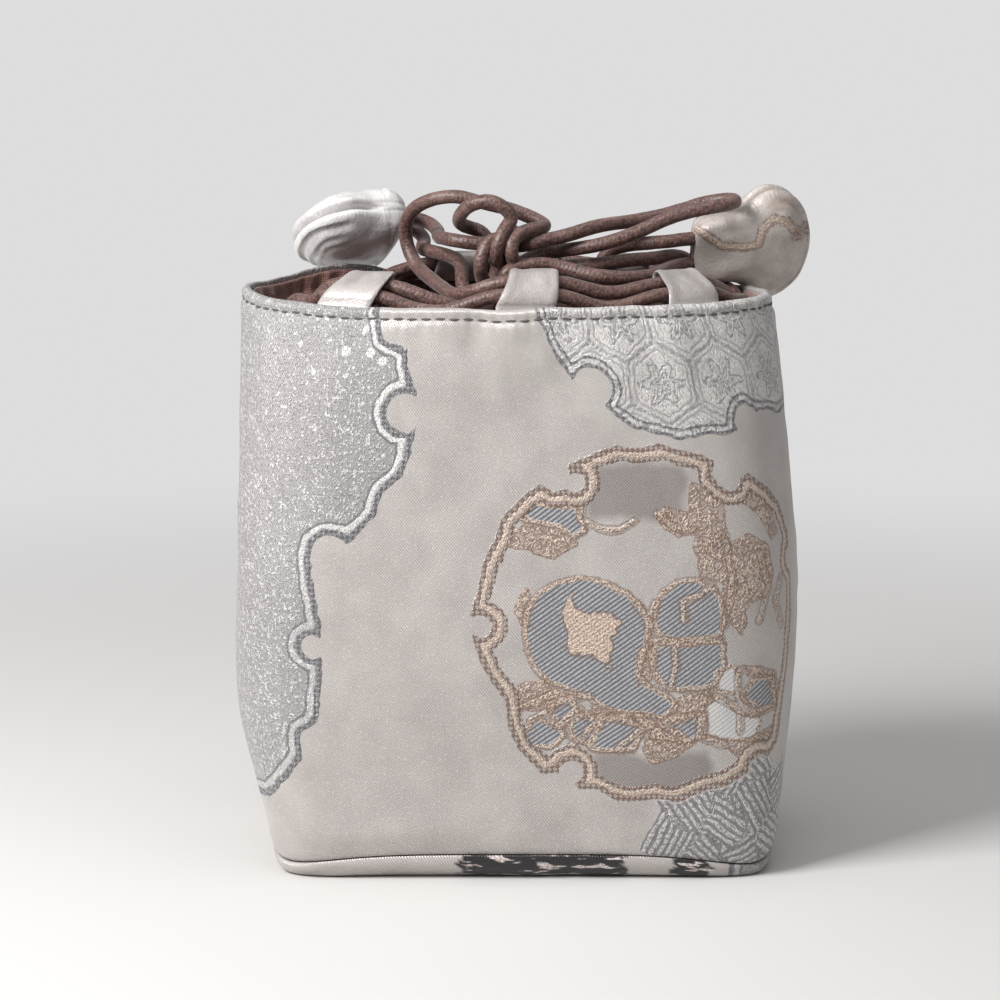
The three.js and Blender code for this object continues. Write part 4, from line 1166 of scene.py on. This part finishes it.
def add_base():
    """The base panel, whose edge curls up to the seam: down the curl, in to the middle, and back inside."""
    shares = np.linspace(0, 1, BASE_COLUMNS, endpoint=False)
    seam = SEAM_HEIGHT - CORNER_DROP * cornerness(shares)
    rings, ups = [], []

    def add_ring(ring, up):
        rings.append(ring)
        ups.append(up)

    def curled(turn, depth, out):
        """A ring of the curl, at a turn from level to straight down."""
        radius = seam - depth
        ring = wall(shares, SEAM_HEIGHT, seam - radius * math.cos(turn) - out)
        ring[:, 2] = seam - (radius + 0.3 * out) * math.sin(turn)
        return ring

    for turn in np.linspace(0, math.pi / 2, 14):
        drawn_in = 0.45 * math.exp(-turn * SEAM_HEIGHT / 0.8)
        puff = 0.22 * noise(shares * 46, turn * 2, 12, 46) * math.sin(2 * turn) - drawn_in
        add_ring(curled(turn, 0, puff), SEAM_HEIGHT * (math.pi / 2 - turn))
    underside = rings[-1]
    for share in np.linspace(0, 1, 26)[1:-1]:
        add_ring(underside * (1 - share), -share * 30)
    add_ring(rings[-1] * 0.02, -31)
    inside = curled(math.pi / 2, BROCADE_THICKNESS, 0)
    middle = np.array([0, 0, BROCADE_THICKNESS])
    for share in np.linspace(1, 0, 14)[1:]:
        add_ring(inside * (1 - share) + middle * share, -31 - share)
    for turn in np.linspace(math.pi / 2, 0, 5)[1:]:
        add_ring(curled(turn, BROCADE_THICKNESS, 0), -40 + turn)

    faces, rows, cols = grid_faces(len(rings), BASE_COLUMNS, wrap_rows=True, wrap_columns=True)
    across = (np.arange(BASE_COLUMNS + 1) / BASE_COLUMNS + 0.25) * CLOTH_ROUND
    cloth = np.stack([across[cols], np.append(ups, ups[-1])[rows]], -1)
    u, v = np.broadcast_arrays(across[None, :-1], np.array(ups)[:, None])
    fields = pattern_fields(u, v, "base")
    front = u - CLOTH_ROUND
    ragged = front + 1.2 * noise(front / 1.3, v / 0.9, 14)
    fields["night"] = np.maximum.reduce([
        smoothstep(ragged, low, low + 0.5) * smoothstep(ragged, high, high - 0.5)
        for low, high in DARK_STRETCHES
    ])
    piece = settle(add_piece("base_cloth", rings, faces, BROCADE, cloth, (), fields), "brocade", "outer_base")


add_base()


def add_stitches():
    """The topstitching: a short round stitch in each dip of the seam line."""
    count = int(RIM_LENGTH / STITCH_SPACING)
    lift = 0.16 * np.sin(np.linspace(0, math.pi, STITCH_STEPS))
    radius = 0.23 * np.sqrt(np.clip(np.sin(np.linspace(0.25, math.pi - 0.25, STITCH_STEPS)), 0.2, 1))
    made, rows, cols = grid_faces(STITCH_STEPS, STITCH_SIDES, wrap_columns=True)
    points, faces, cloth, caps = [], [], [], []
    for k in range(count):
        share = (k + 0.5 + np.linspace(-0.36, 0.36, STITCH_STEPS)) / count
        level = RIM_HEIGHT - STITCH_DROP + 0.08 * math.sin(k * 2.4)
        line = outer_cloth(0.06 - lift, cloth_relief(share, level), level, share)
        start = k * STITCH_STEPS * STITCH_SIDES
        points.append(rings_round(line, radius[:, None], STITCH_SIDES))
        faces.append(made + start)
        cloth.append(np.stack([cols * 0.13, rows * 0.3 + k], -1))
        caps += end_caps(STITCH_STEPS, STITCH_SIDES, start)
    piece = add_piece("topstitching", points, np.concatenate(faces), THREAD, np.concatenate(cloth), caps)
    settle(piece, "brocade_trim")


add_stitches()


# Lining and wadding

def rim_share_at(x, side):
    """The share at which a side's rim lies at a place across."""
    low, high = (0.5, 1.0) if side == "front" else (0.5, 0.0)
    for _ in range(30):
        middle = (low + high) / 2
        if wall(middle, RIM_HEIGHT, 0.0)[..., 0] < x:
            low = middle
        else:
            high = middle
    return (low + high) / 2


TAB_SHARES = {name: rim_share_at(x, side) for name, (x, side, _, _) in TABS.items()}


def tab_nearness(share):
    """1 behind a tab and just beside it, and 0 away from it."""
    column = RIM_LENGTH / 52
    away = np.minimum.reduce([np.abs(share - at) for at in TAB_SHARES.values()]) * RIM_LENGTH
    return 1 - smoothstep(away, TAB_WIDTH / 2 + column, TAB_WIDTH / 2 + 2 * column)


def add_lining(side):
    """A lining panel: up its face to the wadding, over its turned top and down its gathered face."""
    shares = np.linspace(*SIDES[side], LINING_COLUMNS)
    inner, top_inner = LINING_INSET + LINING_THICKNESS, TOP_LINING_INSET + LINING_THICKNESS
    levels = np.concatenate([np.linspace(LINING_FOOT, 80, 22), np.linspace(80, SHOULDER_FOOT, 30)[1:]])
    face = [(LINING_INSET, level) for level in levels]
    face += [(TOP_LINING_INSET, HEM_FOOT), (TOP_LINING_INSET, LINING_TOP)]
    outside = len(face)
    face += [(TOP_LINING_INSET + LINING_THICKNESS * 0.5, LINING_TOP + 0.2)]
    face += [(top_inner, LINING_TOP - k * 0.55) for k in range(5)]
    face += [(inner - 0.6, SHOULDER_FOOT + 0.6)]
    face += [(inner, level) for level in levels[::-1]]
    section = np.array(face)
    inset, level, share = spread(section, shares)
    inset = inset + np.clip((level - SHOULDER_FOOT) / 1.8, 0, 1) * 1.05 * tab_nearness(share)
    gathers = 0.5 + 0.5 * np.cos(TURN * (share * 58 + 0.8 * noise(share * 20, level / 30, 41, 20)))
    gathers = gathers * (0.55 + 0.45 * noise(share * 30, level / 12, 42, 30))
    depth = 1.35 * smoothstep(level, 80, 95) * smoothstep(level, 100.6, 98.4) + 0.1
    sag = smoothstep(level, 4, 12) * smoothstep(level, 97, 90)
    sag = sag * 0.35 * (1 + noise(share * 16, level / 18, 43, 16))
    inward = (np.arange(len(section)) >= outside)[:, None]
    points = place_layer(inset + inward * (gathers * depth + sag), level, share)
    ups = np.append(section[:, 1], section[0, 1])
    piece = add_panel("lining_cloth_" + side, section, shares, points, ups, COTTON_CLOTH)
    settle(piece, "cotton_lining", "lining_" + side)


add_lining("back")
add_lining("front")


def add_floor(name, underside, top, plan_height, material, slot, node, swell):
    """A flat layer on the base, with the wall's plan at a height. Each face has an inset and a height."""
    shares = np.linspace(0, 1, FLOOR_COLUMNS, endpoint=False)
    outwards = np.linspace(0.02, 1, 22)
    rings, ups = [], []
    for (inset, height), reaches, soft in ((underside, outwards, 0), (top, outwards[::-1], swell)):
        edge = wall(shares, plan_height, inset)
        for reach in reaches:
            ring = edge * reach
            ring[:, 2] = height + soft * noise(ring[:, 0] / 7, ring[:, 1] / 7, 51) * (1 - reach**8)
            rings.append(ring)
            ups.append(reach * 40)
    faces, rows, cols = grid_faces(len(rings), FLOOR_COLUMNS, wrap_columns=True)
    cloth = np.stack([cols * 1.8, np.array(ups)[rows]], -1)
    caps = end_caps(len(rings), FLOOR_COLUMNS)
    return settle(add_piece(name, rings, faces, material, cloth, caps), slot, node)


floor_lining = add_floor(
    "lining_floor", (3.15, 3.2), (3.2, 3.65), 3.2, COTTON_CLOTH, "cotton_lining", "lining_base", 0.12
)
floor_wadding = add_floor(
    "wadding_floor", (3.3, 1.15), (2.1, 2.85), SEAM_HEIGHT, WADDING, "wadding", "wadding_base", 0.1
)


def add_wadding(side):
    """A layer of wadding between brocade and lining."""
    shares = np.linspace(*SIDES[side], WADDING_COLUMNS)
    levels = np.linspace(WALL_FOOT, WADDING_TOP, 46)
    face = [(FOOT_INSET, WADDING_FOOT)] + [(WADDING_OUTSIDE, level) for level in levels]
    face += [(WADDING_INSIDE, level) for level in levels[::-1]] + [(WADDING_INSIDE, WADDING_FOOT)]
    section = np.array(face)
    inset, level, share = spread(section, shares)
    soft = 0.12 * noise(share * 50, level / 5, 61, 50) * np.where(inset > 2, 1.0, -1.0)
    points = place_layer(inset + soft, level, share)
    ups = np.append(section[:, 1], section[0, 1])
    piece = add_panel("wadding_layer_" + side, section, shares, points, ups, WADDING)
    settle(piece, "wadding", "wadding_" + side)


add_wadding("back")
add_wadding("front")


# Loop tabs

TAB_ROWS = 90
# The stem's two plies go down inside the hem, from just above the rim
TAB_FOOT = -2.9
STEM_TOP = 0.2
STEM_INSET = HEM_THICKNESS + 0.3 + 0.4
PLY_HALF_GAP = 0.2
# The loop runs loosely round the cords, one higher than the other
LOOP_RADIUS = CORD_DIAMETER / 2 + 0.6 + 0.25
CORDS_APART = 2.7


def tab_line(tilt):
    """The middle of the tab's strip, as inset and height above the rim: up, round the two cords and down."""
    slope = math.radians(tilt)
    way_up = np.array([math.sin(slope), math.cos(slope)])
    low = np.array([STEM_INSET, STEM_TOP]) + way_up * LOOP_RADIUS
    high = low + way_up * CORDS_APART

    def meeting(inset):
        """The turn at which the round of the loop meets a ply of the stem."""
        away = inset - low[0]
        return math.atan2(-math.sqrt(LOOP_RADIUS**2 - away**2), away) % TURN

    def arc(centre, first, last, count):
        turns = np.linspace(first, last, count)
        return [centre + LOOP_RADIUS * np.array([math.cos(turn), math.sin(turn)]) for turn in turns]

    def ply(inset, turn):
        top = low[1] + LOOP_RADIUS * math.sin(turn) - STEM_TOP
        return [np.array([inset, height]) for height in np.linspace(TAB_FOOT, top, 8)]

    outside, inside = STEM_INSET - PLY_HALF_GAP, STEM_INSET + PLY_HALF_GAP
    start, end = meeting(outside), meeting(inside)
    made = ply(outside, start) + arc(low, start, math.pi - slope, 14) + arc(high, math.pi - slope, -slope, 24)
    return np.array(made + arc(low, -slope, end - TURN, 14) + ply(inside, end)[::-1])


def add_tab(name, seed):
    """A strip of satin folded over both cords, which narrows upwards and leans."""
    _, _, tilt, lean = TABS[name]
    line = tab_line(tilt)
    length = run_along(line)[-1]
    at = np.linspace(0, length, TAB_ROWS)
    line = eased(points_at(line, at), 1)
    ways = ways_along(line)
    normals = np.stack([-ways[:, 1], ways[:, 0]], 1)
    across = np.linspace(-1, 1, 27)
    sideways = np.concatenate([across, across[::-1]])
    face = np.repeat([1.0, -1.0], len(across))
    edge = np.sqrt(np.clip(1 - np.abs(sideways) ** 14, 0.03, 1))
    rise = line[:, 1:]
    soft = 0.13 * noise(sideways * 2.2 + 9, at[:, None] / 2.6, seed)
    soft = soft + 0.09 * bump(np.abs(sideways), 0.8, 0.12)
    fade = smoothstep(rise, -0.5, 1.5)
    reach = face * edge * (0.19 + 0.06 * fade) + soft * fade
    inset = line[:, :1] + normals[:, :1] * reach
    height = rise + normals[:, 1:] * reach
    narrow = 1.06 - 0.1 * smoothstep(rise, 0, 5.5)
    along = sideways * TAB_WIDTH / 2 * narrow + lean * np.maximum(height, 0)
    share = TAB_SHARES[name] + along / RIM_LENGTH
    points = wall(share, RIM_HEIGHT + rim_rise(share, RIM_HEIGHT) + height, inset)
    columns = len(sideways)
    faces, rows, cols = grid_faces(TAB_ROWS, columns, wrap_columns=True)
    cloth = np.stack([sideways[cols % columns] * TAB_WIDTH / 2 + seed, at[rows] + seed], -1)
    piece = add_piece("loop_" + name, points, faces, TAB_SATIN, cloth, end_caps(TAB_ROWS, columns))
    settle(piece, "brocade_trim", name)


for number, tab_name in enumerate(TABS):
    add_tab(tab_name, 70 + number)


# Toggles

TOGGLE_WIDTH = 21.2
LIP_REACH = 8
LOBE_REACH = 7
TOGGLE_THICKNESS = 11.4
TOGGLE_SIDES = 180
# One shell's section, as shares of its reach and height, and its lip's way in to the seam
SHELL_OUTLINE = [
    (0, 1), (0.3, 0.97), (0.55, 0.88), (0.75, 0.71), (0.9, 0.5), (0.98, 0.33), (1, 0.22), (0.985, 0.14),
]
SHELL_LIP = [(0.94, 0.08), (0.88, 0.045), (0.82, 0.0)]


def toggle_section():
    """Both shells' section, from the middle of one over the lips to the middle of the other."""
    shell = np.array(SHELL_OUTLINE)
    shell = np.concatenate([points_at(shell, np.linspace(0, run_along(shell)[-1], 34)), SHELL_LIP])
    eased(shell[:-2], 3)
    shell[0, 0] = 0.004
    out, up = shell.T
    return np.concatenate([out, out[-2::-1]])[:, None], np.concatenate([up, -up[-2::-1]])[:, None]


def toggle_reach(cosine, sine, hinge_width, hinge_reach):
    """How far the shells' outline reaches at each turn: a round lobe, blunter and narrower at the hinge."""
    lobe = 1 / np.hypot(cosine / np.where(cosine > 0, LIP_REACH, LOBE_REACH), sine / (TOGGLE_WIDTH / 2))
    hinge = ((np.abs(cosine) / hinge_reach) ** 6 + (np.abs(sine) / (hinge_width / 2)) ** 6) ** (-1 / 6)
    filled = 0.9 * np.exp(-np.abs(lobe - hinge) / 1.6)
    return np.where(cosine < 0, np.maximum(lobe, hinge), lobe) + filled * smoothstep(cosine, 0.2, -0.1)


def add_toggle(
    name, node, middle, lips, near_edge, seed, material, hinge_width, hinge_reach, collar, gold=None
):
    """Two padded half shells, closed like a clam. Local x points to the lips, and z runs along the hinge."""
    out, up = toggle_section()
    angles = np.linspace(0, TURN, TOGGLE_SIDES, endpoint=False)
    cosine, sine = np.cos(angles), np.sin(angles)
    reach = toggle_reach(cosine, sine, hinge_width, hinge_reach)
    groove = 1 + (out - 1) * smoothstep(cosine, -0.7, -0.3)
    blunt = 1 - 0.4 * smoothstep(-cosine, 0.1, 0.8)
    full = np.where(np.abs(up) < 0.12, groove, out**blunt)
    x, z = cosine * full * reach, sine * full * reach

    # Ridges and folds along the lips, gathers and a collar at the hinge
    lip_side = smoothstep(cosine, -0.2, 0.5)
    valley = (0.3 * bump(out, 0.85, 0.055) - 0.14 * bump(out, 0.95, 0.05)) * lip_side
    folds = 0.035 * np.sin(out * 34 + 2.6 * noise(z / 3.4 + 9, x / 3.4 + 9, seed + 7)) * lip_side
    valley = valley + np.where(up > 0, folds * smoothstep(out, 0.3, 0.55), 0)
    hinge_side = smoothstep(-x, 4, 8) * smoothstep(-x, hinge_reach, hinge_reach - 2.5)
    gather = 0.4 * hinge_side * noise(z / 2.1 + 20, x / 9 + 10, seed + 3)
    wrapped = collar * smoothstep(-x, hinge_reach - 4.3, hinge_reach - 3.7)
    puff = 0.3 * noise(x / 5 + 20, z / 5 + 20, seed) + 0.12 * noise(x / 1.8 + 30, z / 1.8 + 30, seed + 1)
    y = up * TOGGLE_THICKNESS / 2 * (1 - valley) * (1 - 0.22 * smoothstep(cosine * out, -0.2, 1))
    y = y * (1 - 0.22 * smoothstep(-x, hinge_reach - 5, hinge_reach))
    y = y + np.sign(up) * smoothstep(np.abs(up), 0.15, 0.5) * (puff + gather + wrapped)

    lips, near_edge = Vector(lips).normalized(), Vector(near_edge)
    y_axis = near_edge.cross(lips).normalized()
    axes = np.array([lips, y_axis, lips.cross(y_axis)])
    points = np.array(middle) + np.stack([x, y, z], -1) @ axes
    faces, rows, cols = grid_faces(len(out), TOGGLE_SIDES, wrap_columns=True)
    cloth = np.stack([x, z + 40 * (y > 0)], -1)[rows, cols % TOGGLE_SIDES]
    fields = {}
    if gold:
        fields["gold_line"] = np.where(y > 0, to_strokes([gold["line"]], x, z), FAR)
        for patch in ("brown_patch", "pale_patch"):
            px, pz, half_x, half_z = gold[patch]
            outside = (np.hypot((x - px) / half_x, (z - pz) / half_z) - 1) * half_z
            fields[patch] = np.where(y > 0, outside, FAR)
    piece = add_piece(name, points, faces, material, cloth, end_caps(len(out), TOGGLE_SIDES), fields)
    settle(piece, "brocade_trim", node)
    return piece


# A line in local x and z, and patches with their middle and half sizes there
GOLD_TRIM = {
    "line": [
        (-14.2, -4.4), (-11, -2.2), (-7, -1.8), (-4.2, -2.1), (-3.4, -4.6), (-1, -6.3), (1.8, -5.4),
        (3, -3.8), (4.4, -3),
    ],
    "brown_patch": (5.6, -2.4, 3.2, 1.5),
    "pale_patch": (0.8, -8.7, 3.0, 1.1),
}
left_toggle = add_toggle(
    "folded_disc_left", "toggle_left", (-33.3, 20.4, 110.3), (-0.94, -0.34, -0.05), (0.3, -0.81, 0.5), 90,
    TOGGLE_SATIN, hinge_width=18.6, hinge_reach=12.3, collar=0.75,
)
right_toggle = add_toggle(
    "folded_disc_right", "toggle_right", (45.8, 13.2, 109.2), (0.94, 0.33, 0.08), (0, 0.3, -0.95), 95,
    TOGGLE_GOLD, hinge_width=13.0, hinge_reach=14.8, collar=0.0, gold=GOLD_TRIM,
)


declare_cord(left_path)
declare_cord(right_path)


# Floor, light and background

BACKGROUND = colour(222, 221, 222)
FLOOR_PAPER = colour(206, 204, 202)
FLOOR_HALF = 3
LIGHT_AIM = Vector((0, 0, 0.06))
WORLD_STRENGTH = 0.28


def blend_into(tree, output, share, first, second):
    """An output takes the first shader, and by a share the second."""
    blend = add_node(tree, "MixShader")
    feed(tree, blend.inputs, share, first, second)
    feed(tree, (output,), blend.outputs[0])


def floor_material():
    """A pale floor that fades into the background away from the pouch."""
    f = Finish("floor_paper")
    f.finish(FLOOR_PAPER, 0.8)
    glow = add_node(f.tree, "Emission", Color=BACKGROUND)
    path = add_node(f.tree, "LightPath")
    away = (f.u * f.u + f.v * f.v).math("SQRT")
    share = away.ramp(110, 420) * Sum(f.tree, path.outputs["Is Camera Ray"])
    output = f.tree.nodes["Material Output"].inputs["Surface"]
    blend_into(f.tree, output, share, f.shader.outputs[0], glow.outputs[0])
    return f.material


corners = [(x * FLOOR_HALF, y * FLOOR_HALF) for x, y in ((-1, -1), (1, -1), (1, 1), (-1, 1))]
floor_mesh = bpy.data.meshes.new("floor")
floor_mesh.from_pydata([(x, y, 0) for x, y in corners], [], [(0, 1, 2, 3)])
floor_mesh.uv_layers.new(name="cloth").data.foreach_set("uv", (np.array(corners) / MM).ravel())
floor_mesh.materials.append(floor_material())
floor = bpy.data.objects.new("floor", floor_mesh)
bpy.context.scene.collection.objects.link(floor)


def add_light(name, place, power, size):
    """A square lamp that points at the pouch."""
    data = bpy.data.lights.new(name, "AREA")
    data.shape = "SQUARE"
    data.size = size
    data.energy = power
    light = bpy.data.objects.new(name, data)
    light.location = place
    light.rotation_euler = (LIGHT_AIM - light.location).to_track_quat("-Z", "Y").to_euler()
    bpy.context.scene.collection.objects.link(light)


add_light("key", (-0.4, -0.3, 0.44), 5.6, 0.26)
add_light("fill", (0.8, -0.7, 0.5), 1.0, 0.6)
add_light("top", (0.05, -0.05, 0.8), 1.6, 0.5)


def set_world():
    """Plain soft light all round, with a pale background for the camera and through glass."""
    world = bpy.data.worlds.new("world")
    bpy.context.scene.world = world
    world.use_nodes = True
    tree = world.node_tree
    tree.nodes.clear()
    seen = add_node(tree, "Background", Color=BACKGROUND, Strength=1.0)
    lit = add_node(tree, "Background", Color=(1, 1, 1, 1), Strength=WORLD_STRENGTH)
    path = add_node(tree, "LightPath")
    share = Sum(tree, path.outputs["Is Camera Ray"]).max(Sum(tree, path.outputs["Is Transmission Ray"]))
    output = add_node(tree, "OutputWorld").inputs["Surface"]
    blend_into(tree, output, share, lit.outputs[0], seen.outputs[0])


set_world()
bpy.context.scene.view_settings.view_transform = "Standard"

bpy.context.view_layer.update()
